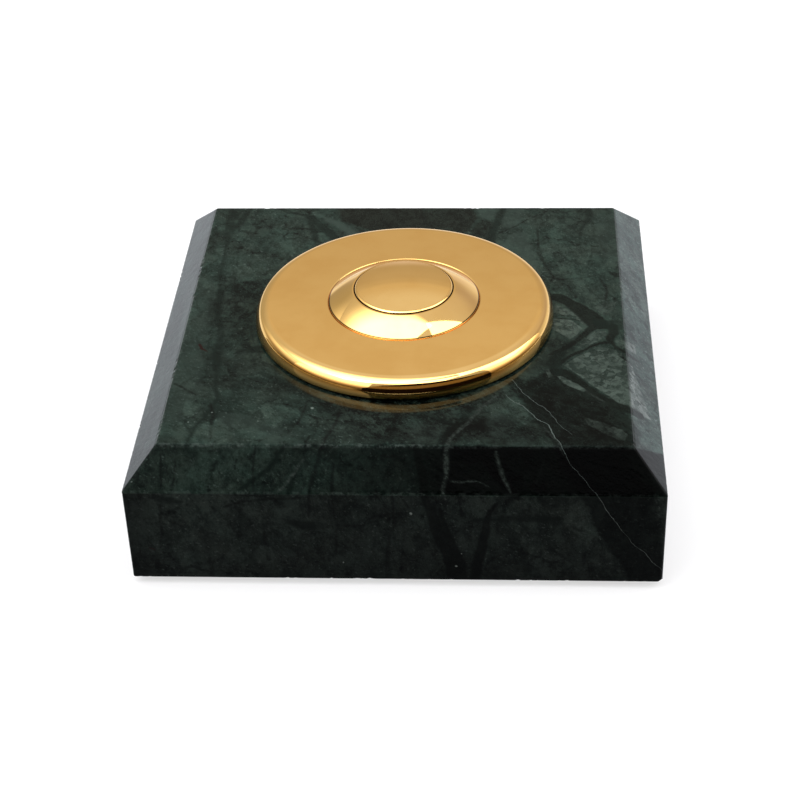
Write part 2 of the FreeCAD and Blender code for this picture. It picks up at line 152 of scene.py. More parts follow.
# %% [markdown]
# ## Camera
# The photograph was taken from a little to the right of the block's front, looking down at 35 degrees. The
# place, the three turns and the lens come from matching the block's eight visible corners and the outlines of
# the rose, bezel and button. The picture is square, 800 by 800.

# %% Camera
camera_place = Vector((21.322, -322.784, 236.586)) * MM
yaw, pitch, roll = (math.radians(a) for a in (-4.051, 35.285, -2.068))
forward = Vector((math.sin(yaw) * math.cos(pitch), math.cos(yaw) * math.cos(pitch), -math.sin(pitch)))
level_right = Vector((math.cos(yaw), -math.sin(yaw), 0.0))
level_up = level_right.cross(forward)
right = level_right * math.cos(roll) + level_up * math.sin(roll)
up = level_up * math.cos(roll) - level_right * math.sin(roll)

camera_data = bpy.data.cameras.new("camera")
camera_data.sensor_width = 36.0
camera_data.lens = 85.665
camera_data.clip_start = 0.01
camera = bpy.data.objects.new("camera", camera_data)
turn = Matrix((right, up, -forward)).transposed().to_4x4()
camera.matrix_world = Matrix.Translation(camera_place) @ turn
bpy.context.scene.collection.objects.link(camera)
bpy.context.scene.camera = camera
bpy.context.scene.view_settings.view_transform = "Standard"
print("camera at mm", [round(v / MM) for v in camera_place], "lens", round(camera_data.lens, 1))

# %% [markdown]
# ## Floor and studio light
# The photograph has a plain white ground. The floor is therefore white to the camera and in reflections, and
# keeps part of its diffuse shading there, so that the object's soft shadow stays. Polished brass has little
# colour of its own: it shows the room. So the room is built from what the brass shows. Behind the object is
# a pale wall that gets beige with height. Overhead hang two large soft lights with a narrow gap between
# them, and white walls hang from their edges down to the floor. A dark card stands low in front.

# %% Floor


def new_piece(name, mesh):
    """Object at the origin that holds a mesh."""
    piece = bpy.data.objects.new(name, mesh)
    bpy.context.scene.collection.objects.link(piece)
    return piece


def flat_card(name, corners):
    """One flat face through places in millimetres."""
    mesh = bpy.data.meshes.new(name)
    mesh.from_pydata([Vector(c) * MM for c in corners], [], [range(len(corners))])
    return new_piece(name, mesh)


reach = 4000.0
floor = flat_card("floor", [(-reach, -reach, 0), (reach, -reach, 0), (reach, reach, 0), (-reach, reach, 0)])
floor_material = bpy.data.materials.new("white_studio_floor")
tree = empty_nodes(floor_material)
ray = add(tree, "LightPath", out=None)
seen = add(tree, "MAXIMUM", ray["Is Camera Ray"], ray["Is Glossy Ray"])
seen = add(tree, "MAXIMUM", seen, ray["Is Transmission Ray"])
# As a surface that lights the object the floor is light grey paper, which keeps the block's front dark.
paper_colour = add(tree, "mix", seen, linear("#BFBFBD"), linear("#FFFFFF"))
paper = add(tree, "BsdfDiffuse", paper_colour)
daylight = add(tree, "mix", ray["Is Glossy Ray"], linear("#FFFFFF"), linear("#ECF3FF"))
white = add(tree, "Emission", daylight, 1.0)
plain_white_share = 0.62
floor_look = add(tree, "MixShader", add(tree, "MULTIPLY", seen, plain_white_share), paper, white)
add(tree, "OutputMaterial", floor_look)
floor.data.materials.append(floor_material)
print("floor side in m:", 2 * reach * MM)

# %% World
world = bpy.data.worlds.new("pale_room")
bpy.context.scene.world = world
tree = empty_nodes(world)
direction = add(tree, "split", add(tree, "TexCoord", out="Generated"))


def wall(*colours):
    """Colour of a wall by height, through (height, hex colour) pairs. Height 0 is level and 1 is upright."""
    colour = add(tree, "ValToRGB", direction["Z"])
    ramp = colour.node.color_ramp
    ramp.interpolation = "EASE"
    while len(ramp.elements) < len(colours):
        ramp.elements.new(0.5)
    for element, (height, hex_colour) in zip(ramp.elements, colours):
        element.position, element.color = height, linear(hex_colour)
    return colour


# White at the horizon, then beige, and a cool white overhead.
back_wall = wall(
    (0.02, "#FFFFFF"), (0.14, "#E4DDE6"), (0.28, "#C2B8A8"), (0.44, "#C7BDB1"), (0.506, "#CEC4B8"),
    (0.564, "#DDD3C7"), (0.72, "#ECEBF2"), (0.95, "#F4F2FF"),
)
left_back = wall((0.02, "#FFFFFF"), (0.12, "#B4AFA4"), (0.38, "#BAB6AE"), (0.62, "#DAD8DA"))
right_back = wall((0.04, "#FFFFFF"), (0.38, "#C4BCC2"), (0.62, "#DAD4D8"))
other_walls = wall((0.0, "#2A2620"), (0.10, "#66625C"), (0.30, "#A8A6A2"), (0.80, "#E8E8F0"))
room_colour = add(tree, "mix", add(tree, "slope", direction["X"], -0.15, -0.48), back_wall, left_back)
room_colour = add(tree, "mix", add(tree, "slope", direction["X"], 0.15, 0.48), room_colour, right_back)
room_colour = add(tree, "mix", add(tree, "slope", direction["Y"], 0.0, 0.8), other_walls, room_colour)
add(tree, "OutputWorld", add(tree, "Background", room_colour, 1.0))
print("world nodes:", len(tree.nodes))

# %% A softbox


def softbox(name, corner, along, across, radiance, fade=None, only_shine=False):
    """Rectangular light with one corner and two sides in millimetres. radiance is its brightness, 1 is white.

    fade "aslant" dims it near the side that runs along, more so far from the corner, and near its far end.
    fade "down" dims and warms it towards the side that runs along, "down and in" dims it towards the corner
    as well. With only_shine it shows in reflections and gives no other light.
    """
    corner, along, across = (Vector(v) * MM for v in (corner, along, across))
    lamp_data = bpy.data.lights.new(name, "AREA")
    lamp_data.shape = "RECTANGLE"
    lamp_data.size, lamp_data.size_y = along.length, across.length
    lamp_data.energy = radiance * math.pi * along.length * across.length
    lamp = bpy.data.objects.new(name, lamp_data)
    x_axis, y_axis = along.normalized(), across.normalized()
    facing = x_axis.cross(y_axis)
    middle = corner + (along + across) / 2
    if facing.dot(middle) < 0:
        x_axis, facing = -x_axis, -facing
    lamp.matrix_world = Matrix.Translation(middle) @ Matrix((x_axis, y_axis, facing)).transposed().to_4x4()
    lamp.visible_camera = False
    lamp.visible_diffuse = not only_shine
    bpy.context.scene.collection.objects.link(lamp)
    if fade:
        fade_lamp(lamp_data, fade)
    return lamp


def fade_lamp(lamp_data, fade):
    """Dim a lamp over its face."""
    lamp_data.use_nodes = True
    tree = lamp_data.node_tree
    share = add(tree, "split", add(tree, "NewGeometry", out="Parametric"))
    emission = tree.nodes["Emission"]
    if fade == "aslant":
        slant = add(tree, "DIVIDE", share["Y"], add(tree, "ADD", share["X"], 0.03))
        far_end = add(tree, "slope", share["X"], 1.0, 0.45, 0.15)
        glow = add(tree, "MULTIPLY", add(tree, "slope", slant, 0.0, 0.7), far_end)
    else:
        glow = add(tree, "slope", share["Y"], 0.0, 0.85, 0.04, 1.0)
        warmth = add(tree, "slope", share["Y"], 0.05, 0.6)
        feed(emission, Color=add(tree, "mix", warmth, linear("#D9A860"), linear("#FFFFFF")))
    if fade == "down and in":
        glow = add(tree, "MULTIPLY", glow, add(tree, "slope", share["X"], 0.0, 0.6))
    emission.inputs["Strength"].default_value = 1.0
    feed(emission, Strength=glow)


# %% Hang the lamps
# The two large lights have a layer of shine of their own, 8 mm higher, since of two lamps in one plane only
# one shows in a mirror.
overhead, from_right = ((-1150, 1110, 0), (-800, -1386, 0)), ((1050, 620, -120), (360, -620, -60))
softbox("overhead_softbox", (230, 70, 1000), *overhead, 2.6, fade="aslant")
softbox("overhead_shine", (230, 70, 1008), *overhead, 0.9, fade="aslant", only_shine=True)
softbox("right_softbox", (275, 100, 1000), *from_right, 2.4)
softbox("right_shine", (275, 100, 1008), *from_right, 0.9, only_shine=True)
softbox("front_shine", (-900, -330, 1000), (1500, 0, 0), (0, -520, -150), 3.4, only_shine=True)
# White walls hang from the edges of the two large lights down to the floor, where they get dim and warm.
softbox("right_wall", (1685, 100, 0), (-840, -496, 0), (0, 0, 880), 2.2, "down")
softbox("far_right_wall", (1325, 720, 0), (360, -620, 0), (0, 0, 850), 1.8, "down", only_shine=True)
softbox("left_wall", (-920, 1180, 0), (-800, -1386, 0), (0, 0, 1000), 1.0, "down and in", only_shine=True)
softbox("front_left_wall", (-1720, -206, 0), (1150, -1110, 0), (0, 0, 1000), 2.2, "down", only_shine=True)

# %% [markdown]
# ## Dark card and cloth
# The front of the rim mirrors a dark streak, and is dark olive below it. Two dark things that only
# reflections see make these: a card that stands in front of the block, and a cloth on the floor round its
# front half. The card has a lighter band across it. From the front it shows as the streak's brown core, and
# it keeps the flat brass golden when it is seen from behind.

# %% Dark card and cloth
DARK = "#160F0A"
card = flat_card("dark_card", [
    (-420, -800, 0), (1122, -525, 0), (1122, -525, 400), (700, -600, 560), (150, -698, 680),
    (-200, -761, 520), (-420, -800, 120),
])
card_material, tree, shader = new_material("dark_card_felt", Roughness=0.9, Specular_IOR_Level=0.0)
height = add(tree, "split", place(tree))["Z"]
band = add(tree, "MULTIPLY", add(tree, "slope", height, 160, 230), add(tree, "slope", height, 470, 400))
feed(shader, Base_Color=add(tree, "mix", band, linear(DARK), linear("#7E694B")))

near_edge = 310.0
bearings = [math.radians(a) for a in range(-115, 116, 10)]
cloth = flat_card("dark_cloth", [(reach * math.sin(a), -reach * math.cos(a), 1) for a in bearings] + [
    (near_edge * math.sin(a), -near_edge * math.cos(a), 1) for a in reversed(bearings)
])
cloth_material, tree, shader = new_material("brown_cloth", Roughness=0.9, Specular_IOR_Level=0.0)
parts = add(tree, "split", place(tree))
bearing = add(tree, "ARCTAN2", parts["X"], add(tree, "MULTIPLY", parts["Y"], -1.0))
left_side, right_side = add(tree, "slope", bearing, -0.45, -0.65), add(tree, "slope", bearing, 1.10, 1.25)
sides = add(tree, "MAXIMUM", left_side, right_side)
feed(shader, Base_Color=add(tree, "mix", sides, linear(DARK), linear("#7A6C52")))
cloth.visible_diffuse = False
for sheet, felt in ((card, card_material), (cloth, cloth_material)):
    sheet.data.materials.append(felt)
    sheet.visible_camera = False
    sheet.visible_shadow = False
print("cloth starts", near_edge, "mm from the middle")

# %% [markdown]
# ## Turned shapes with Geometry Nodes
# The rose, the bezel with its barrel and the button are made on a lathe on the real object: a profile goes
# round an axis. The same rule makes them here. The tree takes the profile's points in order, lays out a grid
# of profile points by turns, puts every grid point at its radius, height and angle, and closes the seam. A
# profile is drawn as corners, and each corner gets the small radius that a file or a polishing wheel leaves:
# these breaks catch the light, and without them an edge looks like a computer's.

# %% Profiles


def eased(corners, closed=True, steps=5):
    """Round the corners of a profile. A corner is (r, z, break radius), or (r, z) where it stays as it is."""
    points = []
    count = len(corners)
    for i, corner in enumerate(corners):
        here = Vector(corner[:2])
        is_end = not closed and i in (0, count - 1)
        if len(corner) == 2 or is_end:
            points.append(tuple(here))
            continue
        before = (Vector(corners[i - 1][:2]) - here).normalized()
        after = (Vector(corners[(i + 1) % count][:2]) - here).normalized()
        half = before.angle(after) / 2
        back = corner[2] / math.tan(half)
        start, end = here + before * back, here + after * back
        centre = here + (before + after).normalized() * (corner[2] / math.sin(half))
        points.append(tuple(start + before * 0.04))
        for step in range(steps + 1):
            share = step / steps
            spoke = (start - centre).lerp(end - centre, share).normalized() * corner[2]
            points.append(tuple(centre + spoke))
        points.append(tuple(end + after * 0.04))
    return points


square_corners = [(0, 0), (4, 0, 0.5), (4, 2, 0.5), (0, 2)]
print("four corners, two of them broken, are", len(eased(square_corners)), "points")

# %% The lathe tree


def new_tree(name, inputs):
    """Geometry Nodes tree with a geometry in and out, and named inputs."""
    tree = bpy.data.node_groups.new(name, "GeometryNodeTree")
    tree.interface.new_socket("Geometry", in_out="INPUT", socket_type="NodeSocketGeometry")
    for label, kind, value in inputs:
        socket = tree.interface.new_socket(label, in_out="INPUT", socket_type=kind)
        if value is not None:
            socket.default_value = value
    tree.interface.new_socket("Geometry", in_out="OUTPUT", socket_type="NodeSocketGeometry")
    return tree, add(tree, "NodeGroupInput", out=None)


def smooth_and_finish(tree, geometry, sharp_from, material):
    """Shade smooth but for edges sharper than an angle, and end the tree."""
    smooth = add(tree, "GeometryNodeSetShadeSmooth", geometry, domain="FACE")
    angle = add(tree, "GeometryNodeInputMeshEdgeAngle", out="Unsigned Angle")
    sharp = add(tree, "FunctionNodeCompare", angle, math.radians(sharp_from), operation="GREATER_THAN")
    edges = add(tree, "GeometryNodeSetShadeSmooth", smooth, sharp, False, domain="EDGE")
    real = add(tree, "GeometryNodeRealizeInstances", edges)
    painted = add(tree, "GeometryNodeSetMaterial", real, Material=material)
    add(tree, "NodeGroupOutput", painted)


lathe, given = new_tree("lathe", [
    ("Steps", "NodeSocketInt", 256), ("Closed", "NodeSocketBool", True),
    ("Material", "NodeSocketMaterial", None),
])
count = add(lathe, "GeometryNodeAttributeDomainSize", given["Geometry"], out="Point Count")
rows = add(lathe, "ADD", count, given["Closed"])
columns = add(lathe, "ADD", given["Steps"], 1)
grid = add(lathe, "GeometryNodeMeshGrid", Vertices_X=columns, Vertices_Y=rows)
index = add(lathe, "GeometryNodeInputIndex")
row = add(lathe, "MODULO", add(lathe, "MODULO", index, rows), count)
column = add(lathe, "FLOOR", add(lathe, "DIVIDE", add(lathe, "ADD", index, 0.5), rows))
place_on_profile = add(
    lathe, "GeometryNodeSampleIndex", data_type="FLOAT_VECTOR", domain="POINT",
    Geometry=given["Geometry"], Value=add(lathe, "GeometryNodeInputPosition"), Index=row,
)
angle = add(lathe, "MULTIPLY", add(lathe, "DIVIDE", column, given["Steps"]), 2 * math.pi)
turned = add(lathe, "VectorRotate", rotation_type="Z_AXIS", Vector=place_on_profile, Angle=angle)
moved = add(lathe, "GeometryNodeSetPosition", grid, Position=turned)
welded = add(lathe, "GeometryNodeMergeByDistance", moved, Distance=1e-6)
smooth_and_finish(lathe, welded, 35, given["Material"])
print("lathe nodes:", len(lathe.nodes))

# %% Run a tree on a mesh


def plain_copy(piece):
    """Mesh of a piece with its modifiers applied, which are then removed."""
    bpy.context.view_layer.update()
    result = bpy.data.meshes.new_from_object(piece.evaluated_get(bpy.context.evaluated_depsgraph_get()))
    piece.modifiers.clear()
    return result


def grow(name, tree, mesh, values):
    """Plain mesh object from a Geometry Nodes tree. values maps the tree's input names to what they take."""
    source = new_piece(name + "_source", mesh)
    modifier = source.modifiers.new("grow", "NODES")
    modifier.node_group = tree
    for socket in tree.interface.items_tree:
        if socket.item_type == "SOCKET" and socket.in_out == "INPUT" and socket.name in values:
            modifier[socket.identifier] = values[socket.name]
    result = plain_copy(source)
    bpy.data.objects.remove(source)
    result.name = name
    return new_piece(name, result)


def point_outward(piece):
    """Recalculate the normals of a closed mesh so that they point outwards."""
    mesh = bmesh.new()
    mesh.from_mesh(piece.data)
    bmesh.ops.recalc_face_normals(mesh, faces=mesh.faces)
    holes = sum(1 for edge in mesh.edges if not edge.is_manifold)
    mesh.to_mesh(piece.data)
    mesh.free()
    print(piece.name, "faces", len(piece.data.polygons), "open edges", holes)


def turn_on_lathe(name, profile, material, closed=True, steps=256):
    """Turned piece from (r, z) points in millimetres."""
    mesh = bpy.data.meshes.new(name)
    mesh.from_pydata([(r * MM, 0.0, z * MM) for r, z in profile], [], [])
    piece = grow(name, lathe, mesh, {"Steps": steps, "Closed": closed, "Material": material})
    point_outward(piece)
    return piece


# %% [markdown]
# ## Polished brass
# The rose, bezel and button are brass, turned, buffed on a cloth wheel and lacquered. Buffing leaves a mirror
# with faint haze and hairlines that run round the axis, which smear each reflection a little along its own
# direction. The colour is that of yellow brass, a little pale because its mirror is never quite clean.

# %% Polished brass
polished_brass, tree, shader = new_material(
    "polished_brass", Base_Color=linear("#F6CB7C"), Metallic=1.0, Roughness=0.04
)
position = place(tree)
parts = add(tree, "split", position)
flat_place = add(tree, "CombineXYZ", parts["X"], parts["Y"], 0.0)
radius = add(tree, "VectorMath", flat_place, operation="LENGTH", out="Value")
# Lathe rings: 0.4 mm apart, as coarse as they need to be to show.
rings = add(
    tree, "TexNoise", noise_dimensions="1D", W=radius, Scale=1 / 0.4, Detail=3.0, Roughness=0.7
)
haze = add(tree, "noise", position, 0.12, 3.0, 0.55)
smear = add(tree, "noise", position, 1.4, 4.0, 0.65)
cloud = add(tree, "MULTIPLY_ADD", smear, 0.35, haze)
tint = add(tree, "mix", add(tree, "slope", haze, 0.35, 0.7), linear("#F9CC7C"), linear("#F4C574"))
# Painted shade: the lips of the seam round the bezel and of the gap round the button are darkened.
for seam_radius, half_width, gap_shade_colour in ((15.00, 0.10, "#4E3612"), (9.90, 0.14, "#5E4212")):
    off = add(tree, "ABSOLUTE", add(tree, "SUBTRACT", radius, seam_radius))
    in_gap_shade = add(tree, "slope", off, half_width + 0.06, half_width - 0.05)
    tint = add(tree, "mix", in_gap_shade, tint, linear(gap_shade_colour))
relief = add(tree, "Bump", Strength=1.0, Distance=0.0006 * MM, Height=rings)
feed(shader, Roughness=add(tree, "slope", cloud, 0.45, 0.95, 0.025, 0.06), Base_Color=tint, Normal=relief)
print("brass nodes:", len(tree.nodes))

# %% [markdown]
# ## Rose, bezel and button
# Each profile starts from the CAD model's sizes. Three things are finer here. The buffing wheel has rolled
# the rose's rim over, the bezel's cone is slightly convex, and the seams are closed up by up to 0.13 mm to
# the width that the photograph shows, since the solids need more play than good turning leaves.

# %% Sizes from the CAD model
cad = {
    "rose_radius": 30.0, "rose_bottom": 29.0, "rose_top": 32.6, "rose_hole": 12.7, "seat_radius": 15.14,
    "seat": 31.4, "bezel_radius": 15.13, "bezel_top": 35.2, "land_radius": 10.35, "lip_bore": 9.94,
    "lip_under": 32.2, "barrel_radius": 12.5, "barrel_bottom": 13.5, "chamber_radius": 10.8,
    "groove_radius": 11.5, "groove_top": 16.1, "groove_bottom": 15.1,
    "button_radius": 9.85, "button_edge": 35.5, "dome_rise": 1.0, "flange_radius": 10.6, "flange_top": 32.15,
    "flange_bottom": 31.15, "cup_radius": 8.4, "cup_ceiling": 34.0,
}
print("sizes:", len(cad))

# %% Rose profile
# The rolled rim is slack at the flat, tight at the shoulder and upright below. Each stretch is its length
# in mm and the lean of the metal at its end, from 90 for flat to 0 for upright.
ROLLED_RIM = [(1.45, 66), (0.75, 40), (1.25, 19.5), (0.4, 17), (1.2, 0)]


def rolled_rim(outer, bottom, top):
    """Points of the rim from the bottom up to the flat, and its width."""
    points, here, lean, steps = [(0.0, 0.0)], Vector((0.0, 0.0)), 90, 8
    for length, end in ROLLED_RIM:
        for i in range(steps):
            a = math.radians(lean + (end - lean) * (i + 0.5) / steps)
            here += Vector((math.sin(a), math.cos(a))) * length / steps
            points.append(tuple(here))
        lean = end
    width, drop = points[-1]
    rim = [(outer - width + out, top - fall * (top - bottom) / drop) for out, fall in reversed(points)]
    return rim, width


def rose_profile():
    """Flat plate with a rolled rim and a seat for the bezel."""
    rim, rim_width = rolled_rim(cad["rose_radius"], cad["rose_bottom"], cad["rose_top"])
    print("rim width in mm:", round(rim_width, 2))
    flat_start = cad["rose_radius"] - rim_width - 0.04
    inner = eased([
        (flat_start, cad["rose_top"]),
        (cad["seat_radius"], cad["rose_top"], 0.35),
        (cad["seat_radius"], cad["seat"]),
        (cad["rose_hole"], cad["seat"]),
        (cad["rose_hole"], cad["rose_bottom"]),
    ], closed=False)
    return rim + inner


# %% Bezel and button profiles


def bezel_profile():
    """Barrel with a lip, and a bezel whose top is slightly convex."""
    outer = Vector((cad["bezel_radius"], cad["rose_top"]))
    lip = Vector((cad["land_radius"], cad["bezel_top"]))
    chord = lip - outer
    bulge = Vector((-chord.y, chord.x)).normalized()
    crown, steps, crest = 0.137, 24, []
    for i in range(1, steps):
        t = i / steps
        crest.append(tuple(outer + chord * t - bulge * crown * 4 * t * (1 - t)))
    lower = eased([
        (cad["chamber_radius"], cad["barrel_bottom"], 0.2), (cad["barrel_radius"], cad["barrel_bottom"], 0.5),
        (cad["barrel_radius"], cad["seat"]), (cad["bezel_radius"], cad["seat"]), (*outer, 0.10), crest[0],
    ], closed=False)
    chamber, groove, lip_bore = cad["chamber_radius"], cad["groove_radius"], cad["lip_bore"]
    upper = eased([
        crest[-1], (*lip, 0.15), (lip_bore, cad["bezel_top"], 0.10), (lip_bore, cad["lip_under"], 0.1),
        (chamber, cad["lip_under"]), (chamber, cad["groove_top"]), (groove, cad["groove_top"]),
        (groove, cad["groove_bottom"]), (chamber, cad["groove_bottom"]),
    ], closed=False)
    return lower[:-1] + crest + upper[1:]


def button_profile():
    """Domed cup with its stop flange, from the crown's middle round to the ceiling's middle."""
    radius, edge, rise = cad["button_radius"], cad["button_edge"], cad["dome_rise"]
    flange, cup, steps = cad["flange_radius"], cad["cup_radius"], 28
    dome = (radius ** 2 + rise ** 2) / (2 * rise)
    crown = [(r, edge + rise - dome + math.sqrt(dome ** 2 - r ** 2)) for r in
             [radius * i / steps for i in range(steps)]]
    rest = eased([
        crown[-1], (radius, edge, 0.60), (radius, cad["flange_top"]), (flange, cad["flange_top"], 0.1),
        (flange, cad["flange_bottom"], 0.1), (cup, cad["flange_bottom"], 0.1), (cup, cad["cup_ceiling"]),
        (0.0, cad["cup_ceiling"]),
    ], closed=False, steps=8)
    return crown + rest[1:]


print("points:", len(bezel_profile()), "and", len(button_profile()))

# %% Turn the three brass pieces
rose = turn_on_lathe("brass_rose", rose_profile(), polished_brass, steps=320)
bezel = turn_on_lathe("brass_bezel_and_barrel", bezel_profile(), polished_brass)
button = turn_on_lathe("brass_button", button_profile(), polished_brass, closed=False)
for piece, node, body in (
    (rose, "rose_plate", "base"), (bezel, "bezel_barrel", "base"), (button, "push_button", "button"),
):
    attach(piece, body)
    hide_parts(node)

# %% [markdown]
# ## The marble block
# The block is sawn, its top edges are bevelled and every face is ground and polished. A stone edge is never
# perfect: the saw and the wheel leave an arris about a third of a millimetre wide with small nicks, and a
# corner or two is broken off. So the skin is made by running the block's profile, drawn as inset and height,
# round a square, with a point every third of a millimetre to carry the nicks. The bore, the hollow for the
# wiring, the recess for the cover and the cable hole are then cut out of it, as the drills do.

# %% Profile of the block
half_side, stone_bottom, stone_top = 50.0, 1.5, 28.5
bevel_in, bevel_down, corner_radius = 6.2, 6.6, 0.4
shoulder_height = stone_top - bevel_down


def stone_profile():
    """Inset and height from the underside over the side and the bevel to the top."""
    shoulder, crest = Vector((0.0, shoulder_height)), Vector((bevel_in, stone_top))
    up_bevel, upward = (crest - shoulder).normalized(), Vector((0.0, 1.0))
    # Two rows either side of each arris keep its wear off the flats.
    near, far, arris = 0.6, 0.8, 0.35
    return eased([
        (2.4, stone_bottom), (far, stone_bottom), (0.0, stone_bottom, 0.30), (0.0, stone_bottom + near),
        (0.0, stone_bottom + far), tuple(shoulder - upward * far), tuple(shoulder - upward * near),
        (*shoulder, arris), tuple(shoulder + up_bevel * near), tuple(shoulder + up_bevel * far),
        tuple(crest - up_bevel * far), tuple(crest - up_bevel * near), (*crest, arris),
        (crest.x + near, stone_top), (crest.x + far, stone_top), (crest.x + 2.0, stone_top),
    ], closed=False, steps=4)


print("rows of the block's skin:", len(stone_profile()))

# %% Wear of the block
# Outward direction of each broken corner, and how far its face is from the middle of the block.
BROKEN_CORNERS = [((-0.62, -0.45, -0.64), 62.15), ((0.70, 0.62, 0.35), 71.0), ((0.60, -0.55, -0.58), 64.75)]
block_middle = Vector((0, 0, 15))


def nick(point):
    """Depth of the wear at a place on an arris, in millimetres: mostly none, now and then a nick."""
    fine = noise.noise(point * 1.1)
    rare = noise.noise(point * 0.17 + Vector((7.0, 3.0, 1.0)))
    return 0.02 + 0.02 * fine + 0.5 * max(0.0, fine + 0.8 * rare - 0.42)


def wear(verts):
    """Nick the arrises and break the corners."""
    reach_of_wear, flat_from = 0.5, 0.4
    worn = []
    for v in verts:
        inset = half_side - max(abs(v.x), abs(v.y))
        side_gap = abs(abs(v.x) - abs(v.y))
        near = min(
            math.hypot(inset, v.z - stone_bottom), math.hypot(inset, v.z - shoulder_height),
            math.hypot(inset - bevel_in, v.z - stone_top), side_gap,
        )
        on_top = v.z > stone_top - 1e-6 and inset > bevel_in + flat_from
        underneath = v.z < stone_bottom + 1e-6 and inset > flat_from
        if near < reach_of_wear and not on_top and not underneath:
            inward = (Vector((0, 0, 14)) - v).normalized()
            v = v + inward * nick(v) * (1 - near / reach_of_wear) ** 0.5
        for outward, face_out in BROKEN_CORNERS:
            outward = Vector(outward).normalized()
            past = (v - block_middle).dot(outward) - face_out - 0.12 * noise.noise(v * 0.9)
            if past > 0:
                v = v - outward * past
        worn.append(v)
    return worn


deepest = max(nick(Vector((x * 0.5, -half_side, stone_bottom))) for x in range(-100, 101))
print("deepest nick along the front's lower edge, mm:", round(deepest, 2))

# %% Skin of the block


def towards(degrees):
    """Direction at an angle on the plan."""
    return Vector((math.cos(math.radians(degrees)), math.sin(math.radians(degrees))))


def stone_skin():
    """Closed block as a grid of profile rows by places round the square."""
    rows = stone_profile()
    along_side, at_corner = 300, 5
    verts, faces = [], []
    for inset, height in rows:
        to_corner = (half_side - inset - corner_radius) * math.sqrt(2)
        loop = []
        for corner in range(-45, 315, 90):
            for i in range(at_corner + 1):
                bearing = corner - 45 + 90 * i / at_corner
                loop.append(towards(corner) * to_corner + towards(bearing) * corner_radius)
            start = loop[-1].copy()
            end = towards(corner + 90) * to_corner + towards(corner + 45) * corner_radius
            loop += [start.lerp(end, i / along_side) for i in range(1, along_side)]
        verts += [Vector((p.x, p.y, height)) for p in loop]
    around = len(verts) // len(rows)
    for row in range(len(rows) - 1):
        for i in range(around):
            a, b = row * around + i, row * around + (i + 1) % around
            faces.append((a, b, b + around, a + around))
    faces.append(tuple(range(around))[::-1])
    faces.append(tuple(range((len(rows) - 1) * around, len(rows) * around)))
    return wear(verts), faces


verts, faces = stone_skin()
mesh = bpy.data.meshes.new("marble_block")
mesh.from_pydata([v * MM for v in verts], [], faces)
block = new_piece("marble_block", mesh)
point_outward(block)

# %% Drill and hollow it
cable_height, insert_circle = 10.0, 31.0
plain_stone = bpy.data.materials.new("stone_cutter")


def lay_back(piece, height):
    """Turn a piece from upright to lying along Y, with its axis at a height."""
    piece.data.transform(Matrix.Translation((0, 0, height * MM)) @ Matrix.Rotation(math.radians(-90), 4, "X"))
    return piece


def cut(piece, *cutters, crossed=False):
    """Cut pieces out of a piece, and remove them. crossed is for a cutter that goes through itself."""
    for cutter in cutters:
        modifier = piece.modifiers.new(cutter.name, "BOOLEAN")
        modifier.operation, modifier.solver, modifier.object = "DIFFERENCE", "EXACT", cutter
        modifier.use_self = crossed
    piece.data = plain_copy(piece)
    for cutter in cutters:
        bpy.data.objects.remove(cutter)


# From the bottom up: the recess for the cover, the hollow for the wiring and the bore for the barrel.
bore = turn_on_lathe("cutter_bore", [
    (0, 0.5), (36.0, 0.5), (36.0, 3.3), (26.0, 3.3), (26.0, 20.5), (12.8, 20.5), (12.8, 29.5), (0, 29.5),
], plain_stone, closed=False, steps=180)
# From the inside out: the bore for the cable and the wider seat of the grommet.
cable_hole = lay_back(turn_on_lathe("cutter_cable_hole", [
    (0, 21.0), (4.0, 21.0), (4.0, 48.5), (5.6, 48.5), (5.6, 52.0), (0, 52.0),
], plain_stone, closed=False, steps=72), cable_height)
insert_places = [Vector((*towards(corner) * insert_circle, 0.0)) for corner in range(45, 405, 90)]
hole_radius, hole_depth, hole_middle = 2.3 * MM, 7.5 * MM, Vector((0, 0, 6.05))
holes = bmesh.new()
for spot in insert_places:
    bmesh.ops.create_cone(
        holes, cap_ends=True, segments=32, radius1=hole_radius, radius2=hole_radius, depth=hole_depth,
        matrix=Matrix.Translation((spot + hole_middle) * MM),
    )
mesh = bpy.data.meshes.new("cutter_inserts")
holes.to_mesh(mesh)
holes.free()
cut(block, bore, cable_hole, new_piece("cutter_inserts", mesh))


def smooth_but_sharp(piece):
    """Shade a piece smooth, with its sharp edges kept."""
    piece.data.materials.clear()
    for polygon in piece.data.polygons:
        polygon.use_smooth = True
    piece.data.set_sharp_from_angle(angle=math.radians(32))


smooth_but_sharp(block)
point_outward(block)

# %% [markdown]
# ## Green marble
# The stone is a dark green serpentine marble: crushed and healed in the rock, so that its right half is
# broken into angular pale pieces between near-black seams, while the left half is finely mottled sage green.
# Polishing gives it a wet gloss with almost no haze. The pattern is solid: it is a map of the top face whose
# marks go down into the stone at a slant, so a vein that reaches the edge runs on over the bevel and down the
# front. The marks that the photograph shows are laid down one by one as lines with a width and as pieces with
# corners, in millimetres on that map. Noise bends them all, and fills the rest with flecks and hairlines.

# %% The stone's map
marble, tree, shader = new_material(
    "polished_green_marble", Roughness=0.06, Specular_IOR_Level=0.085, Specular_Tint=(0.1, 0.1, 0.1, 1.0)
)
solid = place(tree)
MAP_SIDE = 160.0


def warped(position, size_mm, reach_mm, detail=2.0):
    """Position pushed about by noise: blobs of this size, moved up to this far."""
    cloud = add(tree, "noise", position, 1 / size_mm, detail, out="Color")
    centred = add(tree, "VectorMath", cloud, (0.5, 0.5, 0.5), operation="SUBTRACT")
    return add(tree, "move", position, add(tree, "scale", centred, 2 * reach_mm))


def on_map(position):
    """Across and down on the stone's map, for a place in the block."""
    parts = add(tree, "split", position)
    return parts["X"], add(tree, "SUBTRACT", add(tree, "ADD", parts["Y"], parts["Z"]), stone_top)


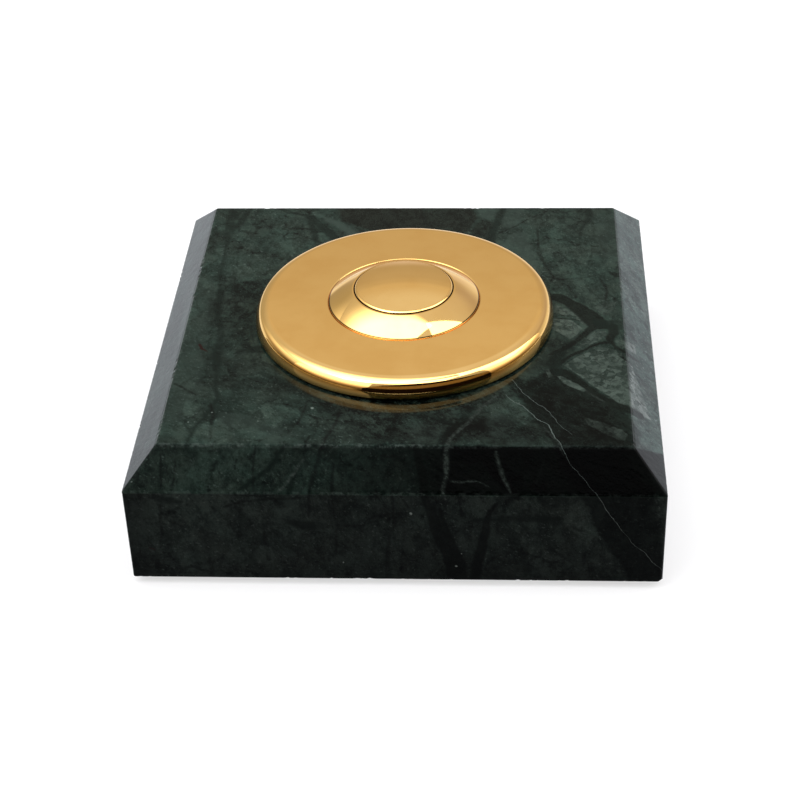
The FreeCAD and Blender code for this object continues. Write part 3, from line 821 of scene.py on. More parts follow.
def map_place(position, layer=1.0):
    """Place on the stone's map as one vector, with a third number."""
    return add(tree, "CombineXYZ", *on_map(position), layer)


def on_scale(millimetres):
    """Millimetres from the map's middle as 0 to 1, which is what a curve takes."""
    return (millimetres + MAP_SIDE / 2) / MAP_SIDE


lines_bent = warped(warped(solid, 5.0, 0.45), 1.2, 0.22, 3.0)
scaled = [add(tree, "MULTIPLY_ADD", value, 1 / MAP_SIDE, 0.5) for value in on_map(lines_bent)]
piece_place = map_place(warped(warped(solid, 2.5, 0.22), 0.7, 0.10))
field_place = map_place(warped(warped(solid, 5.0, 1.1), 1.2, 0.35, 3.0))
cloud_place = map_place(warped(solid, 3.5, 2.2, 4.0))
print("the map is", MAP_SIDE, "mm wide")

# %% [markdown]
# ### Marks as shapes
# A line is drawn through points, each with its place across and down and its half width. A piece is convex
# and has corners, and its strength comes first. A dot has a place and a radius. Each mask is 1 inside its
# shapes and fades to 0 over the softness of their edges.

# %% Lines
# Curves can't go below 0, so every width is drawn with a margin, and off the line's ends with less than that.
width_margin, width_off, past_end = 2.0, 1.0, 0.96


def highest(values):
    """Highest of several values."""
    return functools.reduce(lambda one, other: add(tree, "MAXIMUM", one, other), values)


def by_place(axis, pairs):
    """Number that changes smoothly across (axis 0) or down (1) the map, through (place, number) pairs."""
    number = add(tree, "FloatCurve", Value=scaled[axis])
    curve = number.node.mapping
    points = curve.curves[0].points
    while len(points) < len(pairs):
        points.new(0.5, 0.5)
    for point, (millimetres, value) in zip(points, sorted(pairs)):
        point.location = on_scale(millimetres), value
        point.handle_type = "AUTO_CLAMPED"
    curve.update()
    return number


def line_depth(line):
    """How deep a place is inside a line, with the margin, as a share of the map."""
    spans = [max(p[i] for p in line) - min(p[i] for p in line) for i in (0, 1)]
    along = 0 if spans[0] > spans[1] else 1
    line = sorted(line, key=lambda p: p[along])
    middle = by_place(along, [(p[along], on_scale(p[1 - along])) for p in line])
    off = width_off / MAP_SIDE
    before, after = line[0][along] - past_end, line[-1][along] + past_end
    widths = [(p[along], (p[2] + width_margin) / MAP_SIDE) for p in line]
    widths += [(-MAP_SIDE / 2, off), (before, off), (after, off), (MAP_SIDE / 2, off)]
    gap = add(tree, "ABSOLUTE", add(tree, "SUBTRACT", scaled[1 - along], middle))
    return add(tree, "SUBTRACT", by_place(along, widths), gap)


def lines_mask(lines, soft_mm):
    """1 on any of the lines, 0 off them."""
    deepest = highest([line_depth(line) for line in lines])
    low, high = [(width_margin + side * soft_mm) / MAP_SIDE for side in (-1, 1)]
    return add(tree, "slope", deepest, low, high)


# %% Pieces and dots


def piece_depth(corners, where):
    """Distance in millimetres inside a convex piece of stone, from its corners on the map."""
    corners = [Vector(c) for c in corners]
    middle = sum(corners, Vector((0, 0))) / len(corners)
    depths = []
    for corner, following in zip(corners, corners[1:] + corners[:1]):
        side = following - corner
        inward = Vector((-side.y, side.x)).normalized()
        if inward.dot(middle - corner) < 0:
            inward = -inward
        plane = (inward.x, inward.y, -inward.dot(corner))
        depths.append(add(tree, "VectorMath", where, plane, operation="DOT_PRODUCT", out="Value"))
    return functools.reduce(lambda one, other: add(tree, "MINIMUM", one, other), depths)


def pieces_mask(pieces, soft_mm, where):
    """Strength of the piece that a place is in."""
    return highest([
        add(tree, "slope", piece_depth(corners, where), -soft_mm, soft_mm, 0.0, strength)
        for strength, corners in pieces
    ])


def dots_mask(dots, soft_mm):
    """1 in any of the dots."""
    masks = []
    for across, down, radius in dots:
        gap = add(tree, "VectorMath", piece_place, (across, down, 1.0), operation="DISTANCE", out="Value")
        masks.append(add(tree, "slope", gap, radius + soft_mm, radius - soft_mm))
    return highest(masks)


# %% Count the marks
marks_drawn = 0


def report(kind, *groups):
    """Say how many marks a mask has, and count them."""
    global marks_drawn
    marks_drawn += sum(len(group) for group in groups)
    print(kind, [len(group) for group in groups], "so far", marks_drawn)


# %% Dark fields
DARK_FIELDS = [
    (0.8, [(22, -26), (29, -18.5), (32, -18.5), (42, -31), (46, -40), (44, -46), (30.5, -46)]),
    (0.85, [(28.5, -43), (41, -42.5), (47, -56), (52, -80), (45, -80), (34, -57)]),
    (0.6, [(4.4, -43.8), (8.4, -43.6), (8.8, -49), (8.2, -57.5), (6.2, -57.5)]),
    (0.7, [(10.8, -43.4), (19.5, -43.8), (18.4, -47.6), (14, -48.6), (11, -47.2)]),
]
BACK_FIELDS = [
    (0.95, [(-17, 46), (-8, 47), (2, 46), (4, 30), (-8, 33), (-12, 35.5), (-15.5, 37.5)]),
    (0.8, [(2, 47), (13.5, 46), (13.8, 39), (12, 34), (6, 32), (2, 34)]),
    (0.6, [(14.5, 38.5), (18, 38), (17.5, 28), (13, 30), (13, 36)]),
]
fields = pieces_mask(DARK_FIELDS, 0.7, field_place)
back_fields = pieces_mask(BACK_FIELDS, 0.7, field_place)
report("dark fields", DARK_FIELDS, BACK_FIELDS)

# %% Dark bands
DARK_BANDS = [
    [(29.5, 8, 2.6), (31.5, 6.4, 2.3), (33.5, 4.8, 2.0), (36, 1.7, 2.2), (38, -1.8, 2.6),
     (38.9, -4.4, 1.8)],
    [(38.4, -3.6, 1.4), (36.2, -6.2, 0.9), (34, -9.3, 0.8), (31.6, -11.8, 0.9), (29.4, -13.8, 0.9)],
    [(41.6, -3, 1.0), (41.7, -6, 1.1), (41, -8.4, 0.9), (42.2, -11.6, 0.5), (46, -15, 0.7)],
    [(40.6, -9.4, 0.5), (38.4, -10.2, 0.45), (36, -11.9, 0.45), (33.6, -13.8, 0.6), (31.2, -16.8, 0.7)],
    [(31.5, -19.3, 0.9), (34.5, -23.2, 1.0), (37.5, -27, 1.1), (41, -30.6, 1.2), (46, -33.5, 1.2)],
    [(17.2, -47, 0.9), (18.4, -50.4, 1.0), (20.6, -54, 0.9), (22.8, -57.4, 0.8)],
    [(4, -43.5, 0.5), (5, -49, 0.8), (5.6, -53, 0.8), (5.9, -57, 0.8), (7.4, -62, 1.2), (8.6, -67, 1.4),
     (10, -71, 1.3), (11.6, -78, 1.5)],
    [(8.6, -60, 0.5), (9.4, -64, 0.6), (10.8, -68, 0.8), (12, -72, 0.9), (12.8, -78, 1.0)],
    [(19, -58.4, 0.3), (17.6, -61, 0.6), (16.8, -66, 0.9), (15.4, -73, 1.0), (14.6, -78, 0.9)],
]
bands = lines_mask(DARK_BANDS, 0.35)
report("dark bands", DARK_BANDS)

# %% Broken dark bands
BROKEN_BANDS = [
    [(14.5, -31, 0.5), (12.6, -35.6, 0.8), (10.7, -38.6, 0.9), (8.6, -43.5, 0.9)],
    [(10.8, -37.2, 0.8), (7, -35.4, 0.6), (3, -34.2, 0.4)],
    [(-38, 44, 0.9), (-39.8, 38, 1.2), (-39.8, 32, 0.9)],
    [(38, -2.5, 1.3), (41, -3.2, 1.5), (46, -3.6, 1.2)],
    [(31, -13, 1.4), (30.0, -17, 1.4), (30.6, -20.6, 0.9)],
    [(19.9, 46, 0.6), (19.1, 40, 0.7), (18.2, 36, 0.9), (17, 30, 1.1), (16.6, 27, 1.0)],
    [(38.6, 46, 0.6), (38.2, 38, 0.7), (36.6, 35, 0.4), (36, 30.5, 0.3)],
    [(-40.6, 46, 1.1), (-40, 40, 1.0), (-39.7, 33, 0.9), (-39.7, 27, 0.35), (-39.5, 20, 0.3),
     (-39.2, 13, 0.4), (-38.6, 8, 0.7), (-37.9, 0, 0.8), (-36.8, -5, 0.7), (-36.4, -10, 0.9),
     (-36.2, -15, 0.9), (-35.5, -20, 0.6), (-35.2, -25, 0.5), (-34.2, -29, 0.5), (-35.8, -35, 0.4),
     (-37.6, -40, 0.4), (-38.2, -45, 0.3)],
    [(-35.5, 46, 0.8), (-37.5, 39, 0.8), (-38.8, 34, 0.6)],
    [(-30.5, 44.5, 0.9), (-26, 41, 1.1), (-23.4, 40.4, 1.3), (-21.5, 38, 1.3), (-19.5, 35.5, 1.3),
     (-17.5, 32.5, 1.2), (-15, 28, 1.0)],
    [(-22.5, 38, 0.8), (-21.2, 34, 0.8), (-20.6, 29, 0.7)],
    [(-19.5, -43.5, 0.4), (-22, -48.5, 0.6), (-24.5, -52, 0.8), (-27.8, -55.6, 0.7)],
    [(-17.3, -49.5, 0.3), (-18.3, -53, 0.6), (-19.2, -56.5, 0.7)],
    [(-44.5, -57.8, 0.3), (-42, -58.3, 0.8), (-39, -58.8, 0.3)],
    [(-20, -63, 0.3), (-16, -64, 1.1), (-12, -64, 0.4)],
    [(14, -62.6, 0.5), (22, -62, 0.7), (31, -62, 0.5)],
    [(-33, -14, 0.3), (-30, -12.4, 1.1), (-27, -12, 1.4)],
]
broken = lines_mask(BROKEN_BANDS, 0.5)
report("broken bands", BROKEN_BANDS)

# %% Pale pieces
PALE_PIECES = [
    (0.9, [(29.5, 4.6), (31.2, 3.8), (33, 2.2), (35.1, 0.2), (34.6, -0.5), (32, 0.4), (29.5, 0.9)]),
    (0.7, [(34.6, -0.1), (35.4, -0.5), (36.9, -2.8), (36.1, -3.5), (34.4, -1.4)]),
    (1.0, [(29.5, -0.9), (33.3, -1.3), (34.6, -2.9), (35.6, -4.7), (34.4, -7), (33, -8.4), (31, -6.2),
           (29.5, -4.6)]),
    (0.85, [(37.7, -5.5), (40.3, -5.4), (40.4, -7), (38.6, -9.1), (36.2, -11), (34, -11.9), (34.7, -10.3),
           (36.4, -8)]),
    (1.0, [(34, -15), (36.3, -13.1), (38.5, -12.1), (40.2, -12.4), (42.2, -14.4), (45, -17.5), (48, -34),
           (44, -32), (41, -29.5), (38.3, -26), (35, -22), (31.6, -17.9)]),
    (0.45, [(35.5, -13.2), (39, -10.9), (41.3, -12), (45, -16.5), (40, -14)]),
    (0.7, [(41.9, -8.9), (43.4, -8.6), (46, -9.6), (46, -12.6), (42.6, -10.9)]),
    (0.5, [(38.2, 3.4), (40.8, 5.5), (42.7, 5.2), (42.2, 2.4), (40.6, 0.2), (39.4, 1)]),
    (1.0, [(30.3, -21.4), (31.1, -21.2), (35.9, -25.7), (35.2, -26.6), (31.6, -23.8)]),
    (0.7, [(28, -19), (28.8, -18.8), (29.5, -21.2), (28.7, -21.9)]),
    (0.65, [(35, -34.9), (36, -35.1), (40, -37.4), (42, -38.7), (42.9, -40.3), (42.3, -41.8), (41, -41.7),
           (38.5, -39.6), (36, -37.4)]),
]
pale = pieces_mask(PALE_PIECES, 0.14, piece_place)
report("pale pieces", PALE_PIECES)

# %% Healed pieces
# The edges of these have healed, so that they fade into the stone round them.
HEALED_PIECES = [
    (0.60, [(16.5, -36.5), (18.5, -33.3), (20.5, -34), (22.4, -37.2), (21, -40.5), (18, -41.6), (17, -39)]),
    (0.40, [(22, -39.5), (24.5, -39.5), (26, -43), (25, -43.6), (20, -43.6), (20.5, -42.5)]),
    (0.40, [(3, -36.5), (7.6, -36.8), (9.3, -38.5), (8.6, -42.5), (4.5, -43.2), (2.5, -40)]),
    (0.70, [(14, 47), (18.9, 46), (18.2, 40), (16.5, 38.7), (14.6, 39.2)]),
    (0.50, [(20.4, 46), (24, 46), (24, 38), (22, 35.2), (19.6, 35.6), (19.5, 40)]),
    (0.60, [(21, 32), (26.4, 34), (26.8, 24), (29, 15.5), (27, 13), (18, 27)]),
    (0.95, [(-24.5, 44.5), (-22, 44.5), (-18.6, 40.6), (-14.5, 38), (-9.5, 36), (-9.5, 31.2), (-15, 31.6),
           (-18.6, 37.6)]),
    (0.30, [(40, 40), (46, 42), (46, 18), (41, 20), (39.5, 30)]),
    (0.30, [(-46, 15), (-40.5, 14), (-39.6, 0), (-37.6, -24), (-40, -36), (-46, -40)]),
    (0.35, [(-33, -32), (-28, -35), (-22, -36.5), (-18, -41), (-22, -43), (-34, -37)]),
]
healed = pieces_mask(HEALED_PIECES, 0.7, field_place)
report("healed pieces", HEALED_PIECES)

# %% Darker stone and painted shade
# Darker parts of the top: mostly the stone's own tone, but pieces touching the rose's front are painted
# shade.
DARKER_TONE_AND_PAINTED_SHADE = [
    (0.60, [(15, -27), (21, -22), (26, -18), (30, -20), (27, -27), (18, -31)]),
    (0.45, [(27, -9), (31, -8), (34, -11), (31.5, -15), (31, -20), (25, -23), (23, -20)]),
    (0.50, [(24, -25), (32, -25), (44, -38), (45, -44), (26, -44)]),
    (0.30, [(-27, -15), (-14, -27), (-8, -33), (-20, -32), (-29, -22)]),
    (0.80, [(-8, -27), (4, -27), (16, -27), (18, -31), (8, -35), (-8, -35), (-18, -30)]),
    (0.65, [(-6, -30), (4, -30), (10, -33), (10, -44), (-6, -44), (-8, -36)]),
    (0.65, [(8, -33), (28, -36), (30, -44), (8, -44)]),
    (0.50, [(-39, 14), (-32, 14), (-29, 10), (-29, 1), (-32, -5), (-36.5, -5.5), (-39.5, 4)]),
    (0.30, [(-38, -5), (-28, -5), (-24, -18), (-26, -27), (-36, -24)]),
]
darker_tone_and_painted_shade = pieces_mask(DARKER_TONE_AND_PAINTED_SHADE, 3.5, cloud_place)
report("shaded parts", DARKER_TONE_AND_PAINTED_SHADE)

# %% Painted shade on the front
# Painted shade: how much darker the front bevel and the front face are than the top, by place across.
BEVEL_PAINTED_SHADE = [
    (-52, 0.40), (-36, 0.34), (-24, 0.38), (-12, 0.46), (-4, 0.60), (6, 0.66), (12, 0.86), (20, 0.94),
    (36, 0.94), (44, 0.82), (52, 0.70),
]
FRONT_PAINTED_SHADE = [
    (-52, 0.62), (-46, 0.48), (-40, 0.28), (-34, 0.36), (-24, 0.42), (0, 0.43), (18, 0.42), (38, 0.40),
    (46, 0.36), (52, 0.36),
]
spot = add(tree, "split", solid)
_, down = on_map(solid)
shoulder_down, crest_down, past_bottom = -half_side - bevel_down, -half_side + bevel_in, -90.0
for shade, low, high in ((BEVEL_PAINTED_SHADE, shoulder_down, crest_down), (FRONT_PAINTED_SHADE, past_bottom, shoulder_down)):
    above_foot = add(tree, "slope", down, low - 0.5, low + 0.3)
    within = add(tree, "MULTIPLY", add(tree, "slope", down, high + 0.3, high - 0.5), above_foot)
    darker_tone_and_painted_shade = add(tree, "MAXIMUM", darker_tone_and_painted_shade, add(tree, "MULTIPLY", by_place(0, shade), within))
# The front face is also darker towards its bottom.
darker_tone_and_painted_shade = add(tree, "ADD", darker_tone_and_painted_shade, add(tree, "slope", down, -67.0, -75.0, 0.0, 0.10))
print("the front face starts", shoulder_down, "mm down the map")

# %% Streaks and veins
PALE_STREAKS = [
    [(35.7, -26, 0.25), (38.8, -29.6, 0.3)],
    [(18.8, -28, 0.25), (15.6, -32.5, 0.45), (13.6, -36.5, 0.4), (10.4, -42, 0.35), (9.8, -46, 0.4),
     (9.7, -49, 0.5), (9.6, -52, 0.35), (9.3, -55, 0.25), (9.8, -58, 0.1)],
    [(10.3, -53, 0.1), (12.5, -53.3, 0.16), (15, -53, 0.12), (17.5, -54.3, 0.08)],
    [(18.6, -45, 0.12), (19.5, -49, 0.25), (20.5, -53, 0.28), (21.6, -56, 0.15)],
    [(27.6, -38, 0.10), (29.4, -41, 0.2), (30.4, -44, 0.15), (31, -46, 0.05)],
    [(-16.5, -47.5, 0.2), (-18.5, -52, 0.4), (-21, -56, 0.4)],
]
VEINS = [
    [(21.5, -22, 0.02), (23, -25.5, 0.06), (24.5, -28, 0.08), (26, -30, 0.06), (27.5, -31.5, 0.07),
     (29, -34, 0.05), (30.2, -36.5, 0.03), (31.5, -38.5, 0.02), (33, -40.5, 0.01)],
    [(20.6, -27.5, 0.03), (22, -29.8, 0.06), (23.8, -31.2, 0.08), (25, -33, 0.06), (26.5, -35.5, 0.08),
     (28.5, -37.5, 0.08), (29.3, -40, 0.09), (30, -42, 0.07), (31, -44.8, 0.04), (32.3, -48.5, 0.03),
     (34.5, -52, 0.02), (36.3, -55, 0.02), (37.7, -57, 0.03), (39, -60, 0.05), (40.8, -62.8, 0.05),
     (43, -66, 0.0), (44.5, -68.3, 0.04), (46.5, -70, 0.04), (48, -72, 0.03), (50, -74.5, 0.03)],
]
streaks = lines_mask(PALE_STREAKS, 0.35)
veins = lines_mask(VEINS, 0.07)
report("streaks and veins", PALE_STREAKS, VEINS)

# %% Hairlines
HAIRLINES = [
    [(18.8, 32.8, 0.2), (22.5, 36, 0.3), (25.5, 39, 0.2), (29, 42, 0.15)],
    [(27, 35, 0.2), (27.2, 28, 0.25), (27.6, 24, 0.45), (28.5, 20, 0.35), (29.5, 17, 0.3), (30.4, 14, 0.4)],
    [(29, 15, 0.3), (32, 14, 0.3), (36, 14.5, 0.25), (39, 15.6, 0.15)],
    [(40, 14, 0.3), (41, 9, 0.3), (40.6, 6, 0.2)],
    [(42, 16.5, 0.7), (44, 15.5, 0.8)],
    [(33.2, 12, 0.15), (33.8, 9.5, 0.3), (34.8, 7, 0.3)],
    [(-44, -23.5, 0.3), (-41, -26, 0.35), (-38.8, -28, 0.25)],
    [(-31, -21, 0.15), (-29, -22.5, 0.25), (-26, -24, 0.15)],
    [(-35.2, -31, 0.35), (-34.5, -36, 0.35), (-34, -42, 0.2)],
    [(-16.8, -30, 0.25), (-17.5, -34, 0.3), (-18.3, -37.5, 0.2)],
    [(-10.4, -32.5, 0.3), (-11.5, -38, 0.35), (-13.3, -44, 0.35), (-14, -49, 0.4), (-15, -55, 0.35),
     (-15.8, -62, 0.2)],
    [(-10.8, -48.5, 0.2), (-11.2, -55, 0.25), (-11.1, -60, 0.2), (-10.5, -64, 0.25), (-11, -70, 0.2)],
    [(-31.2, -60, 0.2), (-28.5, -58.8, 0.3), (-25, -58.1, 0.3), (-17, -57.5, 0.25)],
    [(-43, -59.5, 0.3), (-43.5, -65, 0.3), (-44, -69, 0.2)],
    [(-42, -63, 0.25), (-38.7, -65, 0.2)],
    [(-24, -65.5, 0.4), (-23.8, -72.5, 0.5)],
    [(-34.8, -72, 0.4), (-35, -78, 0.4)],
    [(-9.6, -64, 0.25), (-6, -63.9, 0.3), (-4.4, -62, 0.3), (-2, -61.4, 0.3), (2, -61, 0.25)],
    [(0, -54.5, 0.2), (0, -60, 0.3), (0.2, -63, 0.35), (-0.8, -66, 0.3), (-1.2, -70, 0.35),
     (-1.8, -78, 0.3)],
    [(-2.2, -46.6, 0.4), (0.6, -47, 0.5)],
    [(-40, -47.5, 0.12), (-40.5, -54.5, 0.2)],
    [(-42.8, -46, 0.12), (-42.6, -55, 0.15)],
    [(-25.2, -44, 0.2), (-25.8, -50, 0.25), (-25.4, -54.5, 0.2)],
    [(27.6, -47.5, 0.15), (26, -53.5, 0.25)],
    [(11.8, -57, 0.15), (12.6, -61.5, 0.2)],
    [(30.5, -1.0, 0.15), (33.2, -1.1, 0.25), (35, -2, 0.2)],
]
hairs = lines_mask(HAIRLINES, 0.26)
report("hairlines", HAIRLINES)

# %% Flecks of colour
RED_FLECKS = [
    [(-40.3, -10.6, 0.25), (-39.6, -12.1, 0.38), (-38.3, -13.2, 0.18)],
    [(-46.2, -70, 0.1), (-45, -70.2, 0.16)],
]
WHITE_SPECKS = [
    (-15.9, -32.2, 0.26), (-34.8, -33.8, 0.12), (-25.7, -36.5, 0.12), (-38.8, -37, 0.12),
    (-9.7, -72.8, 0.10), (11.5, -73.5, 0.18), (3.2, -61, 0.25), (12.5, -70.5, 0.10), (-48.2, -53.8, 0.12),
]
red = lines_mask(RED_FLECKS, 0.15)
specks = dots_mask(WHITE_SPECKS, 0.12)
report("red flecks and white specks", RED_FLECKS, WHITE_SPECKS)

# %% [markdown]
# ### The ground between the marks
# The rock was pressed, so its flecks are drawn out: aslant in the front half of the top, upright elsewhere.
# They are as strong from 5 mm down to a tenth. Old plates, each a little lighter or darker than the next,
# lie over the flecks and are partly edged with dark.

# %% Flecks


def lay(under, strength, mask, over):
    """The stone's colour with another laid over it, as strong as the mask times a strength."""
    share = add(tree, "MULTIPLY", mask, strength)
    return add(tree, "mix", share, under, over if isinstance(over, bpy.types.NodeSocket) else linear(over))


# The third number tells apart the places that lie one behind the other along the marks' slant.
layer_slant = 0.4
slant = add(tree, "MULTIPLY", add(tree, "SUBTRACT", spot["Y"], spot["Z"]), layer_slant)
aslant, upright = [add(
    tree, "Mapping", vector_type="TEXTURE", Vector=map_place(solid, slant),
    Rotation=(0, 0, math.radians(angle)), Scale=(1.0, 1.8, 1.0),
) for angle in (42, 10)]
front_half_middle = -29
is_upright = add(tree, "slope", add(tree, "ABSOLUTE", add(tree, "ADD", down, -front_half_middle)), 9.0, 17.0)
both_ways = [add(tree, "noise", way, 1 / 5.0, 6.0, 0.92) for way in (aslant, upright)]
flecks = add(tree, "mix", is_upright, *both_ways)
clouds = add(tree, "noise", solid, 1 / 7.0, 2.0, 0.6)
fine = add(tree, "noise", aslant, 1 / 0.55, 2.0, 0.7)
fine_dark = add(tree, "noise", warped(upright, 9.0, 1.5), 1 / 0.75, 2.0, 0.7)
patchy = add(tree, "noise", warped(solid, 2.0, 1.0), 1 / 3.0, 3.0, 0.7)
print("nodes so far:", len(tree.nodes))

# %% Sage ground
sage = add(tree, "mix", add(tree, "slope", flecks, 0.36, 0.64), linear("#131D19"), linear("#2E3C35"))
hue = add(tree, "mix", add(tree, "slope", clouds, 0.35, 0.65), (1.05, 0.99, 0.98, 1), (0.94, 1.01, 1.0, 1))
sage = add(tree, "tint", 1.0, sage, hue)
plate_place, plate_size = warped(upright, 3.0, 0.9, 3.0), 6.0
plates = add(tree, "cells", plate_place, 1 / plate_size, feature="F1", out="Color")
shades = add(tree, "SeparateColor", plates, out=1)
sage = add(tree, "tint", 1.0, sage, add(tree, "mix", shades, (0.66, 0.67, 0.67, 1), (1.09, 1.08, 1.08, 1)))
plate_edges = add(tree, "cells", plate_place, 1 / plate_size, feature="DISTANCE_TO_EDGE")
plate_edges = add(tree, "slope", plate_edges, 0.07, 0.01)
plate_edges = add(tree, "MULTIPLY", plate_edges, add(tree, "slope", patchy, 0.44, 0.60))
sage = lay(sage, 0.55, plate_edges, "#0B1411")
sage = lay(sage, 0.45, add(tree, "slope", fine, 0.60, 0.72), "#4C5A53")
sage = lay(sage, 0.45, add(tree, "slope", fine_dark, 0.36, 0.26), "#08100D")
print("nodes so far:", len(tree.nodes))

# %% Dark and pale stone
dark_stone, back_stone, band_stone = [
    add(tree, "mix", add(tree, "slope", flecks, 0.38, 0.64), linear(dark), linear(light))
    for dark, light in (("#000201", "#070E0B"), ("#080B08", "#191E19"), ("#060C09", "#101713"))
]
dark_stone = lay(dark_stone, 0.22, add(tree, "slope", fine, 0.60, 0.72), "#2A332F")
cell_place = warped(solid, 0.8, 0.35)
grain = add(tree, "SeparateColor", add(tree, "cells", cell_place, 1 / 1.1, feature="F1", out="Color"))
pale_level = add(tree, "MULTIPLY_ADD", grain, 0.35, add(tree, "MULTIPLY", flecks, 0.65 * 1.6))
pale_level = add(tree, "slope", pale_level, 0.45, 0.95)
pale_stone = add(tree, "mix", pale_level, linear("#1F2924"), linear("#444F48"))
crackle = add(tree, "cells", cell_place, 1 / 1.7, feature="DISTANCE_TO_EDGE")
crackle = add(tree, "slope", crackle, 0.10, 0.02)
crackle = add(tree, "MULTIPLY", crackle, add(tree, "slope", patchy, 0.40, 0.60))
pale_stone = lay(pale_stone, 0.48, crackle, "#0C110E")
print("nodes so far:", len(tree.nodes))

# %% Lay the marks over the stone
old_cells = add(tree, "cells", warped(solid, 6.0, 3.0, 3.0), 1 / 13.0, feature="DISTANCE_TO_EDGE")
seams = add(tree, "slope", old_cells, 0.05, 0.01)
seams = add(tree, "MULTIPLY", seams, add(tree, "slope", patchy, 0.45, 0.62))
broken = add(tree, "MULTIPLY", broken, add(tree, "slope", patchy, 0.30, 0.52, 0.5, 1.0))
colour = sage
for strength, mask, over in (
    (0.6, seams, dark_stone), (0.95, back_fields, back_stone), (0.8, healed, "#303C36"),
    (0.97, fields, dark_stone), (0.9, pale, pale_stone), (0.92, bands, band_stone), (0.85, broken, "#0E1814"),
):
    colour = lay(colour, strength, mask, over)
# Where the stone is darker or painted with shade it keeps its light flecks, so the darkening is thinner
# there.
top_only = add(tree, "slope", down, -45.0, -43.5, 0.15, 1.0)
light_fleck = add(tree, "MULTIPLY", add(tree, "slope", flecks, 0.36, 0.66), top_only)
darker_tone_and_painted_shade = add(tree, "MULTIPLY", darker_tone_and_painted_shade, add(tree, "slope", light_fleck, 0.0, 1.0, 1.25, 0.62))
# The darker tone and the painted shade are laid on here, as a blend towards black.
colour = add(tree, "mix", add(tree, "MINIMUM", darker_tone_and_painted_shade, 0.97), colour, (0, 0, 0, 1))
# The thin marks come and go with the stone under them.
streaks = add(tree, "MULTIPLY", streaks, add(tree, "slope", fine, 0.42, 0.62, 0.25, 0.9))
hairs = add(tree, "MULTIPLY", hairs, add(tree, "slope", patchy, 0.3, 0.5, 0.4, 1.0))
veins = add(tree, "MULTIPLY", veins, add(tree, "slope", flecks, 0.40, 0.60, 0.5, 1.0))
for strength, mask, over in (
    (0.75, streaks, "#2E3531"), (0.6, hairs, "#050706"), (0.8, veins, "#59645F"), (0.95, red, "#1E0D0B"),
    (0.8, specks, "#66726B"),
):
    colour = lay(colour, strength, mask, over)
print("nodes so far:", len(tree.nodes))

# %% Crushed arrises with a painted highlight
# A pale line along each arris: partly crushed stone, partly painted highlight; broken where the edge was
# spared.
height, crest_across = spot["Z"], half_side - bevel_in
side_ways, back_ways = (add(tree, "ABSOLUTE", spot[axis]) for axis in ("X", "Y"))
outward = add(tree, "MAXIMUM", side_ways, back_ways)
upper = add(tree, "slope", add(tree, "ABSOLUTE", add(tree, "SUBTRACT", outward, crest_across)), 0.5, 0.1)
upper = add(tree, "MULTIPLY", upper, add(tree, "GREATER_THAN", height, stone_top - 1.0))
lower = add(tree, "slope", add(tree, "ABSOLUTE", add(tree, "SUBTRACT", height, shoulder_height)), 0.4, 0.1)
lower = add(tree, "MULTIPLY", lower, add(tree, "GREATER_THAN", outward, half_side - 1.0))
crushed_and_highlit = add(tree, "MULTIPLY_ADD", lower, 0.5, upper)
spared = add(tree, "slope", add(tree, "noise", solid, 1 / 1.3, 3.0, 0.7), 0.44, 0.68)
crushed_and_highlit = add(tree, "MULTIPLY", crushed_and_highlit, spared)
crushed_and_highlit = add(tree, "MULTIPLY", crushed_and_highlit, add(tree, "slope", spot["X"], 20.0, 0.0, 0.3, 1.0))
colour = lay(colour, 0.26, crushed_and_highlit, "#5F6B65")
print("nodes so far:", len(tree.nodes))

# %% Honed sides, and side bevels with painted reflection
# The sides are only honed, and their fine scratches grey the green and ripple what they reflect.
honed = add(tree, "slope", height, shoulder_height - 0.1, shoulder_height - 0.3)
ripple = add(tree, "noise", aslant, 1 / 1.6, 4.0, 0.7)
ripple = add(tree, "MULTIPLY", ripple, add(tree, "slope", height, stone_top - 0.2, stone_top - 0.6))
relief = add(tree, "Bump", Strength=1.0, Distance=0.07 * MM, Height=ripple)
# The side bevels are ground coarser, and their pattern is lifted: partly haze, partly painted reflection.
on_bevel = add(
    tree, "MULTIPLY", add(tree, "slope", side_ways, crest_across + 0.1, crest_across + 0.5),
    add(tree, "GREATER_THAN", height, shoulder_height + 0.1),
)
on_bevel = add(tree, "MULTIPLY", on_bevel, add(tree, "GREATER_THAN", side_ways, back_ways))
haze_and_painted_reflection = add(tree, "mix", add(tree, "slope", spot["X"], -40, 40), (1.3, 1.2, 1.35, 1), (2.8, 2.4, 2.75, 1))
colour = add(tree, "tint", on_bevel, colour, haze_and_painted_reflection)
feed(shader, Base_Color=add(tree, "HueSaturation", Saturation=0.65, Fac=honed, Color=colour), Normal=relief)
print("marble nodes:", len(tree.nodes))

# %% Dress the block
block.data.materials.append(marble)
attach(block, "base")
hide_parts("marble_base")
print(block.name, "is dressed in", marble.name)

# %% [markdown]
# ## Rubber, plastics, fibre and plated steel
# The rest of the push is underneath and inside: rubber feet and a grommet, a moulded cover with its cable
# clamp, a phenolic contact block, an acetal plunger, a red fibre washer, plated steel screws and clips, and
# turned brass contacts. Each finish keeps what its making leaves: the spark-eroded grain of a moulding tool,
# the cloudy colour of pressed phenolic, fibres in the washer, the drawn lines of spring wire.

# %% A grained finish


